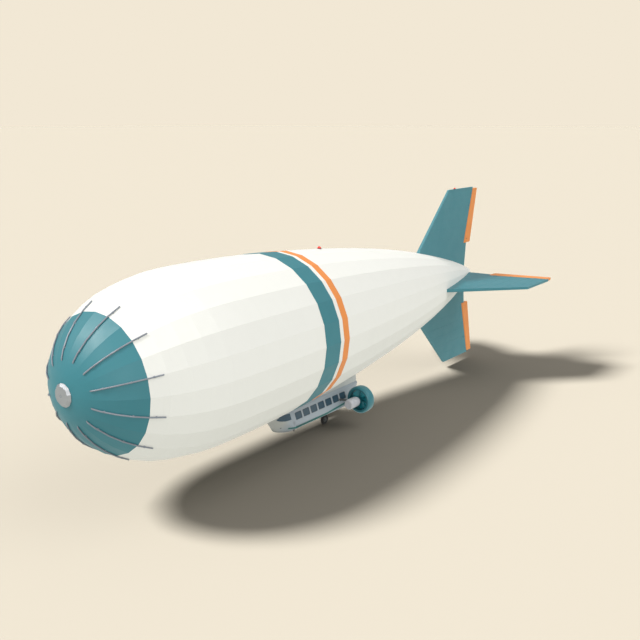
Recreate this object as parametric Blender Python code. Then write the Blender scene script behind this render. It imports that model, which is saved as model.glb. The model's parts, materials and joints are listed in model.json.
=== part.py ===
"""Airship with a gondola, four tail fins and two tilting ducted fans, as a 1:2 scale model.

The frame is in metres with +Z up. The nose points to -Y and the port side is +X. The origin is on the
envelope's axis at its centre of lift, which is the point that the part is held by.
"""

import math

import bmesh
import bpy
from mathutils import Matrix, Vector

GAP = 0.0003
RUN_GAP = 0.006

# Envelope, as distances aft of the nose tip
LIFT_FROM_NOSE = 10.9
ENVELOPE_RADIUS = 3.505
BOW_LENGTH = 6.0
BOW_POWERS = (2.675, 0.534)
STERN_LENGTH = 22.66
STERN_POWERS = (1.892, 0.829)
ENVELOPE_SKIN = 0.010
GORES = 24
CAP_SEAT = 0.038
NOSE_PAINT_END = 1.515
NOSE_RINGS = 5
BOW_RINGS = 6
STERN_RINGS = 17
TAIL_TIP = BOW_LENGTH + STERN_LENGTH
TAIL_CONE = 0.45

# Mooring cap
CAP_RADIUS = 0.42
CAP_FLAT_RADIUS = 0.10
CAP_HEIGHT = 0.11
CAP_SIDES = 10

# Battens
BATTENS = 12
BATTEN_START = 0.275
BATTEN_END = 1.955
BATTEN_RADIUS = 0.028
BATTEN_SIDES = 6

# Belts round the envelope: name, start and end aft of the nose, material and colour
BELT_THICKNESS = 0.012
TEAL = (0.07, 0.27, 0.31, 1.0)
ORANGE = (0.83, 0.25, 0.06, 1.0)
BELTS = (
    ("belt_teal", 9.825, 10.872, "teal_paint", TEAL),
    ("belt_orange", 11.141, 11.536, "orange_paint", ORANGE),
)

# Fins, as distance aft of the nose and reach out from the axis
FIN_ROOT_FRONT = 22.48
FIN_TIP_FRONT = 25.64
FIN_REACH = 4.908
FIN_ROOT_REAR = 27.66
FIN_ROOT_REACH = 1.0
FIN_HALF_ROOT = 0.085
FIN_HALF_TIP = 0.060
HINGE_INNER = Vector((27.62, 1.79))
HINGE_OUTER = Vector((28.51, 4.85))
SURFACE_INNER_REACH = 1.78
SURFACE_OUTER_REACH = 4.825
SURFACE_CHORD_INNER = 0.64
SURFACE_CHORD_OUTER = 0.44
SURFACE_EXTRA_HALF = 0.020
SURFACE_TAIL_SHARE = 0.8
STEP_GAP = 0.018
STEP_LENGTH = 0.20
BOSS_RADIUS = 0.022
BOSS_LENGTH = 0.06

# Gondola section, as half width and height of each level of its skin
GONDOLA_WALL = 0.025
ROOF = (0.600, -3.48)
SHOULDER = (0.655, -3.56)
BELTLINE = (0.722, -3.93)
CHINE = (0.800, -4.36)
KEEL = (0.520, -4.54)
LEVELS = (ROOF, SHOULDER, BELTLINE, CHINE, KEEL)
# Bow of each level: tip and end aft of the nose, and the power of its rounded outline
BOW_LEVELS = (
    (10.60, 11.05, 2.5),
    (10.33, 11.05, 3.0),
    (10.37, 11.05, 3.5),
    (10.50, 11.16, 1.45),
    (10.56, 11.16, 1.6),
)
BOW_TURNS = (12.0, 24.0, 38.0, 52.0, 66.0, 78.0, 90.0)
# Tail sections: aft of nose, then half width and height of roof, shoulder, beltline, chine and keel
TAIL_SECTIONS = (
    (15.10, ROOF, SHOULDER, BELTLINE, CHINE, KEEL),
    (15.50, (0.598, -3.48), (0.652, -3.56), (0.705, -3.91), (0.725, -4.28), (0.460, -4.42)),
    (15.85, (0.588, -3.48), (0.635, -3.56), (0.640, -3.84), (0.590, -4.08), (0.370, -4.18)),
    (16.04, (0.565, -3.48), (0.605, -3.55), (0.565, -3.76), (0.460, -3.90), (0.280, -3.97)),
)
NOSE_SPLIT = 11.10
TAIL_SPLIT = 15.10
BELLY_TOP = -4.34
SIDE_TOP = -3.57

# Windows, aft of nose and heights
WINDOW_FIRST = 11.16
WINDOW_PITCH = 0.55
WINDOW_WIDTH = 0.42
WINDOW_LEAN = 0.05
WINDOW_TOP = -3.69
WINDOW_BOTTOM = -4.00
WINDOWS_PORT = range(0, 7)
WINDOWS_STARBOARD = range(2, 7)
PANE_THICKNESS = 0.008
PANE_SINK = 0.004
PANE_MARGIN = 0.03
COCKPIT_WINDOW = (
    (10.378, -3.905),
    (10.378, -3.830),
    (10.410, -3.715),
    (10.500, -3.640),
    (10.640, -3.605),
    (10.860, -3.620),
    (10.907, -3.905),
)
COCKPIT_WINDOW_OUT = 0.275
DOOR_START = 11.19
DOOR_WIDTH = 0.62
DOOR_TOP = -3.62
DOOR_BOTTOM = -4.30
DOOR_WINDOW_START = 11.29
KNUCKLE_RADIUS = 0.010
KNUCKLE_AHEAD = 0.010
HINGE_LENGTH = 0.07
HINGE_FROM_EDGE = 0.08
LEAF_THICKNESS = 0.006
LEAF_REACH = 0.045

# Fairing between the gondola's roof and the envelope: aft of nose, half width at the roof and at the top
FAIRING_SECTIONS = (
    (10.72, 0.30, 0.28),
    (10.85, 0.47, 0.45),
    (11.05, 0.58, 0.55),
    (15.30, 0.58, 0.55),
    (15.80, 0.58, 0.53),
    (16.04, 0.55, 0.49),
)

# Cabin furniture
SEAT_WIDTH = 0.26
SEAT_DEPTH = 0.26
SEAT_HEIGHT = 0.22
SEAT_BACK = 0.56
SEAT_RAIL = 0.03
SEAT_RAIL_HALF = 0.03
SEAT_POST_HALF = 0.05
SEAT_POST_FRONT = 0.08
SEAT_POST_REAR = 0.18
CUSHION_THICKNESS = 0.06
BACK_THICKNESS = 0.07
SEAT_OUT = 0.42
SEAT_PITCH = 0.66
SEAT_FIRST = 11.55
SEAT_ROWS = 5
PILOT_SEAT = 10.98
PILOT_OUT = 0.20
PANEL_AFT = 10.66
PANEL_DEPTH = 0.12
PANEL_HALF = 0.34
PANEL_STAND_HALF = 0.08
PANEL_Z = -4.10
PANEL_TOP_Z = -3.96
FLOOR_Z = KEEL[1] + GONDOLA_WALL + GAP

# Ducted fans
TILT_AFT = 14.48
TILT_Z = -3.92
DUCT_OUT = 1.55
NACELLE_SIDES = 24
TAIL_HUB_RADIUS = 0.15
NACELLE_RADIUS = 0.235
NACELLE_REAR = 14.92
# Nacelle profile: aft of nose, radius
NACELLE_PROFILE = (
    (13.95, 0.0),
    (13.95, 0.185),
    (13.98, 0.220),
    (14.03, NACELLE_RADIUS),
    (14.46, NACELLE_RADIUS),
    (14.57, 0.210),
    (14.66, 0.170),
    (14.71, TAIL_HUB_RADIUS),
    (NACELLE_REAR, TAIL_HUB_RADIUS),
    (NACELLE_REAR, 0.0),
)
DUCT_SIDES = 32
DUCT_OUTER = 0.63
DUCT_BORE = 0.47
# Duct profile: aft of nose, radius
DUCT_PROFILE = (
    (14.74, 0.515),
    (14.77, 0.570),
    (14.84, DUCT_OUTER),
    (15.08, DUCT_OUTER),
    (15.16, 0.585),
    (15.16, 0.490),
    (15.12, DUCT_BORE),
    (14.79, DUCT_BORE),
    (14.74, 0.490),
)
VANES = 4
VANE_FRONT = 14.80
VANE_REAR = 14.88
VANE_HALF = 0.012
VANE_OVERLAP = 0.03
FAN_MIDDLE = 14.99
FAN_REAR = 15.06
FAN_HUB = 0.15
FAN_TIP = 0.455
FAN_BLADES = 8
FAN_CHORD = 0.17
FAN_BLADE_HALF = 0.010
FAN_PITCH = math.radians(58)
TRUNNION_RADIUS = 0.070
TRUNNION_START = 1.255
OUTRIGGER_RADIUS = 0.045
OUTRIGGER_FLANGE = 0.075
OUTRIGGER_FLANGE_LENGTH = 0.035
OUTRIGGER_FOOT_Z = -3.98
OUTRIGGER_FOOT_END = 0.76

# Landing gear
WHEEL_AFT = 14.22
WHEEL_Z = -5.025
WHEEL_RADIUS = 0.228
WHEEL_HALF = 0.070
WHEEL_SHOULDER = 0.035
WHEEL_SIDES = 32
RIM_RADIUS = 0.120
HUB_CAP_RADIUS = 0.055
SWIVEL_AFT = 14.40
LEG_RADIUS = 0.055
LEG_FOOT_Z = -4.66
FORK_HEAD_RADIUS = 0.050
FORK_HEAD_FOOT_Z = -4.75
FORK_BRIDGE_HALF = 0.020
FORK_ARM_HALF = 0.012
FORK_ARM_OUT = 0.100
FORK_ARM_TOP = 0.035
FORK_ARM_FOOT = 0.030
AXLE_RADIUS = 0.022

# Beacons
BEACON_TOP_AFT = 13.86
BEACON_FIN_AFT = 26.36
BEACON_RADIUS = 0.085
BEACON_HEIGHT = 0.10
BEACON_SIDES = 12
# Share of the lens's radius and of its height
BEACON_PROFILE = ((1.0, 0.0), (1.0, 0.45), (0.8, 0.75), (0.4, 1.0))

WHITE = (0.80, 0.80, 0.76, 1.0)
SILVER = (0.60, 0.61, 0.62, 1.0)
BATTEN_GREY = (0.42, 0.42, 0.43, 1.0)
CABIN_WHITE = (0.68, 0.69, 0.70, 1.0)
FAIRING_GREY = (0.52, 0.53, 0.54, 1.0)
SLATE = (0.04, 0.07, 0.11, 1.0)
DARK_STEEL = (0.06, 0.06, 0.07, 1.0)
TYRE_BLACK = (0.02, 0.02, 0.02, 1.0)
SEAT_GREY = (0.16, 0.18, 0.21, 1.0)
LAMP_RED = (0.65, 0.04, 0.03, 1.0)


def station(aft):
    """Turn a distance aft of the nose into a Y coordinate."""
    return aft - LIFT_FROM_NOSE


def envelope_formula(aft):
    """Corner radius of the envelope at a distance aft of the nose."""
    if aft < BOW_LENGTH:
        share = 1.0 - aft / BOW_LENGTH
        inner, outer = BOW_POWERS
    else:
        share = (aft - BOW_LENGTH) / STERN_LENGTH
        inner, outer = STERN_POWERS
    return ENVELOPE_RADIUS * max(0.0, 1.0 - share**inner) ** outer


def ring_stations():
    """Distances aft of the nose where the envelope has a ring of corners."""
    paint = NOSE_PAINT_END - CAP_SEAT
    span = BOW_LENGTH - NOSE_PAINT_END
    bow = [CAP_SEAT + paint * (i / NOSE_RINGS) ** 1.5 for i in range(NOSE_RINGS + 1)]
    bow += [NOSE_PAINT_END + span * (i / BOW_RINGS) ** 1.15 for i in range(1, BOW_RINGS + 1)]
    stern = [BOW_LENGTH + STERN_LENGTH * (i / STERN_RINGS) for i in range(1, STERN_RINGS)]
    return bow + stern + [TAIL_TIP - TAIL_CONE]


STATIONS = ring_stations()


def stations_between(start, end):
    """Start, the envelope's rings in between, and end."""
    return [start] + [aft for aft in STATIONS if start < aft < end] + [end]


def envelope_radius(aft):
    """Corner radius of the faceted envelope, straight between its rings."""
    rings = STATIONS + [TAIL_TIP]
    for front, rear in zip(rings, rings[1:]):
        if aft <= rear:
            share = (aft - front) / (rear - front)
            near = envelope_formula(front)
            return near + (envelope_formula(rear) - near) * share
    return 0.0


def material(name, color, roughness=0.5, metallic=0.0):
    """Return a Principled material, made once for each name."""
    found = bpy.data.materials.get(name)
    if found:
        return found
    made = bpy.data.materials.new(name)
    made.use_nodes = True
    shader = made.node_tree.nodes["Principled BSDF"]
    shader.inputs["Base Color"].default_value = color
    shader.inputs["Roughness"].default_value = roughness
    shader.inputs["Metallic"].default_value = metallic
    made.diffuse_color = color
    return made


def cabin_paint():
    """White paint of the gondola."""
    return material("cabin_white", CABIN_WHITE, 0.4)


def teal_paint():
    """Teal coating of the nose and fins."""
    return material("teal_paint", TEAL, 0.45)


def dark_steel():
    """Dark painted steel of struts and gear."""
    return material("dark_steel", DARK_STEEL, 0.45, 0.5)


def finish(shape, name, surface, smooth=None):
    """Turn a bmesh into a named object with one material."""
    bmesh.ops.recalc_face_normals(shape, faces=shape.faces)
    mesh = bpy.data.meshes.new(name)
    shape.to_mesh(mesh)
    shape.free()
    mesh.materials.append(surface)
    if smooth is not None:
        mesh.shade_smooth()
        mesh.set_sharp_from_angle(angle=math.radians(smooth))
    made = bpy.data.objects.new(name, mesh)
    bpy.context.collection.objects.link(made)
    return made


def boolean(target, tool, operation):
    """Apply an exact boolean to the target and remove the tool."""
    step = target.modifiers.new("shape", "BOOLEAN")
    step.operation = operation
    step.solver = "EXACT"
    step.object = tool
    bpy.context.view_layer.update()
    graph = bpy.context.evaluated_depsgraph_get()
    mesh = bpy.data.meshes.new_from_object(target.evaluated_get(graph))
    surface = target.data.materials[0]
    target.modifiers.clear()
    target.data = mesh
    mesh.materials.clear()
    mesh.materials.append(surface)
    bpy.data.objects.remove(tool)
    return target


def copy_of(source, name, surface):
    """Copy an object with its mesh under a new name."""
    made = source.copy()
    made.data = source.data.copy()
    made.name = name
    made.data.materials.clear()
    made.data.materials.append(surface)
    bpy.context.collection.objects.link(made)
    return made


def mirrored(source, name):
    """Mirror an object's mesh to the starboard side under a new name."""
    made = source.copy()
    made.data = source.data.copy()
    made.name = name
    made.data.transform(Matrix.Scale(-1.0, 4, Vector((1.0, 0.0, 0.0))))
    made.data.flip_normals()
    bpy.context.collection.objects.link(made)
    return made


def box_shape(low, high):
    """Closed box between two corners."""
    shape = bmesh.new()
    bmesh.ops.create_cube(shape, size=1.0)
    size = Vector(high) - Vector(low)
    middle = (Vector(high) + Vector(low)) / 2
    place = Matrix.Translation(middle) @ Matrix.Diagonal(size.to_4d())
    bmesh.ops.transform(shape, matrix=place, verts=shape.verts)
    return shape


def box(low, high, name, surface):
    """Box object between two corners."""
    return finish(box_shape(low, high), name, surface)


def side_box(near, far, start, end, low, high, side, name, surface):
    """Box on one side, from a near to a far distance out, +1 for port and -1 for starboard."""
    edges = sorted((side * near, side * far))
    return box((edges[0], station(start), low), (edges[1], station(end), high), name, surface)


def rod(start, end, radius, sides, name, surface, end_radius=None):
    """Round bar between two points, or a cone frustum if it has an end radius."""
    start = Vector(start)
    end = Vector(end)
    along = end - start
    shape = bmesh.new()
    turn = along.to_track_quat("Z", "Y").to_matrix().to_4x4()
    bmesh.ops.create_cone(
        shape,
        cap_ends=True,
        segments=sides,
        radius1=radius,
        radius2=radius if end_radius is None else end_radius,
        depth=along.length,
        matrix=Matrix.Translation((start + end) / 2) @ turn,
    )
    return finish(shape, name, surface, 40)


def skinned(rings):
    """Skin a list of equal rings of points, with open ends. Returns the shape and its rows."""
    shape = bmesh.new()
    rows = [[shape.verts.new(point) for point in ring] for ring in rings]
    count = len(rows[0])
    for row, after in zip(rows, rows[1:]):
        for i in range(count):
            j = (i + 1) % count
            shape.faces.new((row[i], row[j], after[j], after[i]))
    return shape, rows


def lofted(rings):
    """Skin a list of equal rings of points into one closed shape."""
    shape, rows = skinned(rings)
    shape.faces.new(list(reversed(rows[0])))
    shape.faces.new(rows[-1])
    return shape


def turned(profile, sides, loop=False, phase=0.0):
    """Turn a profile of (aft of nose, radius) about the envelope's axis. Radius 0 makes a pole."""
    shape = bmesh.new()
    rows = []
    for aft, radius in profile:
        if radius == 0.0:
            rows.append([shape.verts.new((0.0, station(aft), 0.0))])
            continue
        row = []
        for i in range(sides):
            angle = phase + 2.0 * math.pi * i / sides
            point = (radius * math.cos(angle), station(aft), radius * math.sin(angle))
            row.append(shape.verts.new(point))
        rows.append(row)
    pairs = list(zip(rows, rows[1:]))
    if loop:
        pairs.append((rows[-1], rows[0]))
    for row, after in pairs:
        if len(row) == 1 and len(after) == 1:
            continue
        for i in range(sides):
            j = (i + 1) % sides
            if len(row) == 1:
                shape.faces.new((row[0], after[j], after[i]))
            elif len(after) == 1:
                shape.faces.new((row[i], row[j], after[0]))
            else:
                shape.faces.new((row[i], row[j], after[j], after[i]))
    return shape


def inner_radius(aft):
    """Corner radius of the envelope's inner face, one skin inside the outer one."""
    step = 0.01
    slope = (envelope_formula(aft + step) - envelope_formula(aft - step)) / (2 * step)
    return envelope_formula(aft) - ENVELOPE_SKIN * math.sqrt(1.0 + slope * slope)


def build_envelope():
    """Nose shell and main envelope, both open skins that meet at the edge of the nose paint."""
    seam = NOSE_PAINT_END
    nose = [aft for aft in STATIONS if aft < seam - GAP]
    outer = [(aft, envelope_formula(aft)) for aft in nose]
    outer.append((seam - GAP, envelope_radius(seam - GAP)))
    inner = [(aft, inner_radius(aft)) for aft in nose]
    inner.append((seam - GAP, inner_radius(seam)))
    finish(turned(outer + inner[::-1], GORES, loop=True), "nose_shell", teal_paint())

    main = [aft for aft in STATIONS if aft >= seam - GAP]
    outer = [(aft, envelope_formula(aft)) for aft in main] + [(TAIL_TIP, 0.0)]
    inner = [(aft, inner_radius(aft)) for aft in main] + [(TAIL_TIP - 3 * ENVELOPE_SKIN, 0.0)]
    shape = turned(outer + inner[::-1], GORES, loop=True)
    finish(shape, "envelope", material("white_fabric", WHITE, 0.55))


def build_cap():
    """Faceted low dome that closes the nose opening."""
    back = CAP_SEAT - GAP
    profile = [
        (back, 0.0),
        (back, CAP_RADIUS),
        (back - 0.25 * CAP_HEIGHT, 0.97 * CAP_RADIUS),
        (back - 0.75 * CAP_HEIGHT, 0.62 * CAP_RADIUS),
        (back - CAP_HEIGHT, CAP_FLAT_RADIUS),
        (back - CAP_HEIGHT, 0.0),
    ]
    shape = turned(profile, CAP_SIDES, phase=math.radians(90))
    finish(shape, "mooring_cap", material("cap_metal", SILVER, 0.35, 0.7))


def batten_ring(aft, out, across):
    """Section of a batten that rests on the envelope, pointing along out."""
    step = 0.01
    slope = (envelope_radius(aft + step) - envelope_radius(aft - step)) / (2 * step)
    lean = math.sqrt(1.0 + slope * slope)
    foot = out * envelope_radius(aft) + Vector((0.0, station(aft), 0.0))
    ring = []
    for corner in range(BATTEN_SIDES):
        turn = 2.0 * math.pi * corner / BATTEN_SIDES
        lift = lean * (2 * GAP + 0.9 * BATTEN_RADIUS * (1.0 - math.cos(turn)))
        ring.append(foot + out * lift + across * BATTEN_RADIUS * math.sin(turn))
    return ring


def build_battens():
    """Stiffening rods laid along every other seam between the gores of the nose."""
    surface = material("batten_metal", BATTEN_GREY, 0.4, 0.7)
    step = 2.0 * math.pi / BATTENS
    for i in range(BATTENS):
        angle = step * (i + 0.5)
        out = Vector((math.cos(angle), 0.0, math.sin(angle)))
        across = Vector((-math.sin(angle), 0.0, math.cos(angle)))
        stops = stations_between(BATTEN_START, BATTEN_END)
        rings = [batten_ring(aft, out, across) for aft in stops]
        finish(lofted(rings), f"batten_{i + 1:02d}", surface, 50)


def build_belts():
    """Coloured bands that lie on the envelope, cut away over the fairing."""
    for name, start, end, label, color in BELTS:
        surface = material(label, color, 0.45)
        stops = stations_between(start, end)
        inner = [(aft, envelope_radius(aft) + GAP) for aft in stops]
        outer = [(aft, radius + BELT_THICKNESS) for aft, radius in inner]
        belt = finish(turned(outer + inner[::-1], GORES, loop=True), name, surface)
        if end > FAIRING_SECTIONS[0][0]:
            margin = BELT_THICKNESS
            half = max(row[2] for row in FAIRING_SECTIONS) + margin
            front = max(start, FAIRING_SECTIONS[0][0] - margin)
            low = (-half, station(front) - GAP, -ENVELOPE_RADIUS - 2 * margin)
            high = (half, station(end) + margin, -0.85 * ENVELOPE_RADIUS)
            boolean(belt, box(low, high, "belt_cut", surface), "DIFFERENCE")


def fin_half(out):
    """Half of a fin's thickness at a distance out from the axis."""
    share = (out - FIN_ROOT_REACH) / (FIN_REACH - FIN_ROOT_REACH)
    return FIN_HALF_ROOT + (FIN_HALF_TIP - FIN_HALF_ROOT) * share


def hinge_aft(out):
    """Distance aft of the nose of a control surface's hinge line, at a reach out from the axis."""
    share = (out - HINGE_INNER.y) / (HINGE_OUTER.y - HINGE_INNER.y)
    return HINGE_INNER.x + (HINGE_OUTER.x - HINGE_INNER.x) * share


HINGE_ALONG = (HINGE_OUTER - HINGE_INNER).normalized()


def notch_aft(out):
    """Rear edge of the fin ahead of its control surface, at a reach out from the axis."""
    clear = fin_half(out) + SURFACE_EXTRA_HALF + RUN_GAP
    return hinge_aft(out) - clear / HINGE_ALONG.y


def fin_outline():
    """Corners of a fin in (aft, out), outboard first, without its root line."""
    step = SURFACE_INNER_REACH - STEP_GAP
    return [
        Vector((FIN_TIP_FRONT, FIN_REACH)),
        Vector((notch_aft(FIN_REACH), FIN_REACH)),
        Vector((notch_aft(step), step)),
        Vector((hinge_aft(step) + STEP_LENGTH, step)),
    ]


def hinge_boss(low, high, surface):
    """Round boss along the hinge line of the upper fin, between two reaches out from the axis."""
    start = (0.0, station(hinge_aft(low)), low)
    end = (0.0, station(hinge_aft(high)), high)
    return rod(start, end, BOSS_RADIUS, 12, "boss", surface)


def build_fin(name, turn):
    """One fin, shaped as the upper one and turned about the envelope's axis."""
    shape = bmesh.new()
    port = []
    starboard = []
    ridge = []
    drop = math.tan(math.pi / GORES)
    roots = stations_between(FIN_ROOT_FRONT, FIN_ROOT_REAR)
    for aft in roots:
        radius = envelope_radius(aft) + 2 * GAP
        half = fin_half(radius)
        port.append(shape.verts.new((half, station(aft), radius - drop * half)))
        starboard.append(shape.verts.new((-half, station(aft), radius - drop * half)))
        ridge.append(shape.verts.new((0.0, station(aft), radius)))
    port_edge = []
    starboard_edge = []
    for point in fin_outline():
        half = fin_half(point.y)
        port_edge.append(shape.verts.new((half, station(point.x), point.y)))
        starboard_edge.append(shape.verts.new((-half, station(point.x), point.y)))
    shape.faces.new(port_edge + port[::-1])
    shape.faces.new(starboard + starboard_edge[::-1])
    for i in range(len(port_edge) - 1):
        j = i + 1
        shape.faces.new((port_edge[j], port_edge[i], starboard_edge[i], starboard_edge[j]))
    shape.faces.new((port[-1], port_edge[-1], starboard_edge[-1], starboard[-1], ridge[-1]))
    shape.faces.new((port_edge[0], port[0], ridge[0], starboard[0], starboard_edge[0]))
    for i in range(len(roots) - 1):
        shape.faces.new((port[i], port[i + 1], ridge[i + 1], ridge[i]))
        shape.faces.new((ridge[i], ridge[i + 1], starboard[i + 1], starboard[i]))
    surface = teal_paint()
    fin = finish(shape, name, surface)
    meeting = SURFACE_INNER_REACH - STEP_GAP / 2
    boolean(fin, hinge_boss(meeting - BOSS_LENGTH, meeting - GAP / 2, surface), "UNION")
    fin.data.transform(Matrix.Rotation(turn, 4, "Y"))


def surface_ring(out, chord):
    """Section of a control surface at a reach out from the axis, with a round nose about the hinge."""
    half = fin_half(out) + SURFACE_EXTRA_HALF
    ring = []
    for i in range(7):
        angle = math.radians(-90.0 + 30.0 * i)
        aft = hinge_aft(out) - half * math.cos(angle) / HINGE_ALONG.y
        ring.append(Vector((half * math.sin(angle), station(aft), out)))
    tail = station(hinge_aft(out) + chord)
    ring.append(Vector((half * SURFACE_TAIL_SHARE, tail, out)))
    ring.append(Vector((-half * SURFACE_TAIL_SHARE, tail, out)))
    return ring


def build_surface(name, turn):
    """Rudder or elevator with a half-round nose and a boss about its hinge line."""
    surface = material("orange_paint", ORANGE, 0.45)
    rings = [
        surface_ring(SURFACE_INNER_REACH, SURFACE_CHORD_INNER),
        surface_ring(SURFACE_OUTER_REACH, SURFACE_CHORD_OUTER),
    ]
    made = finish(lofted(rings), name, surface, 35)
    meeting = SURFACE_INNER_REACH - STEP_GAP / 2
    boolean(made, hinge_boss(meeting + GAP / 2, meeting + BOSS_LENGTH, surface), "UNION")
    made.data.transform(Matrix.Rotation(turn, 4, "Y"))


def build_tail():
    """Four fins in a cross, each with its control surface."""
    fins = (
        ("fin_upper", "rudder_upper", 0.0),
        ("fin_port", "elevator_port", 90.0),
        ("fin_lower", "rudder_lower", 180.0),
        ("fin_starboard", "elevator_starboard", 270.0),
    )
    for fin_name, surface_name, degrees in fins:
        build_fin(fin_name, math.radians(degrees))
        build_surface(surface_name, math.radians(degrees))


def beacon(name, foot, radius, height):
    """Red lamp with a straight foot and a domed lens, standing on a point."""
    rings = []
    for share, rise in BEACON_PROFILE:
        ring = []
        for i in range(BEACON_SIDES):
            angle = 2.0 * math.pi * i / BEACON_SIDES
            around = Vector((math.cos(angle), math.sin(angle), 0.0))
            ring.append(Vector(foot) + around * radius * share + Vector((0.0, 0.0, height * rise)))
        rings.append(ring)
    finish(lofted(rings), name, material("lamp_red", LAMP_RED, 0.2), 40)


def build_beacons():
    """Beacon on the envelope's back and beacon on the upper fin's tip."""
    crest = envelope_radius(BEACON_TOP_AFT - BEACON_RADIUS)
    foot = (0.0, station(BEACON_TOP_AFT), crest + GAP)
    beacon("beacon_top", foot, BEACON_RADIUS, BEACON_HEIGHT)
    foot = (0.0, station(BEACON_FIN_AFT), FIN_REACH + GAP)
    beacon("beacon_fin", foot, 0.95 * fin_half(FIN_REACH), 0.8 * BEACON_HEIGHT)


def mirrored_ring(points):
    """Ring from port points (aft, half width, height), top first, and their starboard mirror."""
    ring = [Vector((half, station(aft), z)) for aft, half, z in points]
    return ring + [Vector((-point.x, point.y, point.z)) for point in reversed(ring)]


def level_insets(inset):
    """How far an inset moves each level in and up: the flat roof and keel move by all of it."""
    return (
        (0.9 * inset, -inset),
        (inset, -0.6 * inset),
        (inset, 0.0),
        (inset, 0.5 * inset),
        (0.7 * inset, inset),
    )


def gondola_rings(inset):
    """Rings of the gondola's skin, drawn in by an inset. Each bow ring fans round the tip."""
    shifts = level_insets(inset)
    rings = []
    for degrees in BOW_TURNS:
        turn = math.radians(degrees)
        points = []
        for (half, z), (tip, end, power), (draw, lift) in zip(LEVELS, BOW_LEVELS, shifts):
            length = end - tip - inset
            aft = end - length * math.cos(turn) ** (2.0 / power)
            out = (half - draw) * math.sin(turn) ** (2.0 / power)
            points.append((aft, out, z + lift))
        rings.append(mirrored_ring(points))
    for aft, *levels in TAIL_SECTIONS:
        if aft == TAIL_SECTIONS[-1][0]:
            aft -= inset
        points = [(aft, half - draw, z + lift) for (half, z), (draw, lift) in zip(levels, shifts)]
        rings.append(mirrored_ring(points))
    return rings


def gondola_body(inset, name):
    """Closed loft through the gondola's rings, its ends closed strip by strip."""
    shape, rows = skinned(gondola_rings(inset))
    count = len(rows[0])
    for row in (rows[0], rows[-1]):
        for i in range(count // 2 - 1):
            shape.faces.new((row[i], row[i + 1], row[count - 2 - i], row[count - 1 - i]))
    return finish(shape, name, cabin_paint())


def skin_layer(outer, inner, name):
    """Hollow layer of the gondola's skin between two insets."""
    return boolean(gondola_body(outer, name), gondola_body(inner, "hollow"), "DIFFERENCE")


def side_prism(corners, side, near, name, surface):
    """Prism across one side, +1 for port and -1 for starboard, from corners in (aft, height)."""
    rings = []
    for out in (near, 1.0):
        rings.append([Vector((side * out, station(aft), z)) for aft, z in corners])
    return finish(lofted(rings), name, surface)


def window_corners(start, inset=0.0):
    """Corners of one leaning side window in (aft, height), drawn in by an inset."""
    top = WINDOW_TOP - inset
    bottom = WINDOW_BOTTOM + inset
    front = start + inset
    rear = start + WINDOW_WIDTH - inset
    return ((front, top), (rear, top), (rear + WINDOW_LEAN, bottom), (front + WINDOW_LEAN, bottom))


def window_start(i):
    """Front of one side window at its top, aft of the nose."""
    return WINDOW_FIRST + WINDOW_PITCH * i


def side_windows():
    """Sides and starts of the windows that each side node has."""
    port = [window_start(i) for i in WINDOWS_PORT]
    starboard = [window_start(i) for i in WINDOWS_STARBOARD]
    return ((1, port), (-1, starboard), (-1, [DOOR_WINDOW_START]))


def sliced(source, name, low, high, surface):
    """Part of the source that lies in a box, as a new object."""
    made = copy_of(source, name, surface)
    return boolean(made, box(low, high, "slice", surface), "INTERSECT")


def wall_half(z):
    """Half width of the gondola's straight side at a height."""
    share = (z - CHINE[1]) / (SHOULDER[1] - CHINE[1])
    return CHINE[0] + (SHOULDER[0] - CHINE[0]) * share


def door_pin(z):
    """Point of the door's hinge pin at a height. The pin leans with the wall, just outside it."""
    lean = math.atan((CHINE[0] - SHOULDER[0]) / (SHOULDER[1] - CHINE[1]))
    proud = (KNUCKLE_RADIUS + GAP) / math.cos(lean)
    pin_aft = DOOR_START - RUN_GAP - KNUCKLE_AHEAD
    return Vector((-wall_half(z) - proud, station(pin_aft), z))


def build_door(shell, surface):
    """Door cut from the starboard wall, with two hinge knuckles on its front edge."""
    end = DOOR_START + DOOR_WIDTH
    door = copy_of(shell, "door", surface)
    tool = side_box(0.5, 1.0, DOOR_START, end, DOOR_BOTTOM, DOOR_TOP, -1, "slice", surface)
    boolean(door, tool, "INTERSECT")
    for z in (DOOR_TOP - HINGE_FROM_EDGE - HINGE_LENGTH, DOOR_BOTTOM + HINGE_FROM_EDGE):
        rings = []
        for height in (z, z + HINGE_LENGTH):
            pin = door_pin(height)
            rear = station(DOOR_START + LEAF_REACH)
            face = -wall_half(height)
            rings.append(
                [
                    Vector((pin.x, pin.y, height)),
                    Vector((pin.x, rear, height)),
                    Vector((face + LEAF_THICKNESS, rear, height)),
                    Vector((face + LEAF_THICKNESS, station(DOOR_START + GAP), height)),
                    Vector((face - GAP, station(DOOR_START + GAP), height)),
                    Vector((face - GAP, pin.y, height)),
                ]
            )
        boolean(door, finish(lofted(rings), "leaf", surface), "UNION")
        over = 0.002
        low = door_pin(z - over)
        high = door_pin(z + HINGE_LENGTH + over)
        boolean(door, rod(low, high, KNUCKLE_RADIUS, 24, "knuckle", surface), "UNION")


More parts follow.
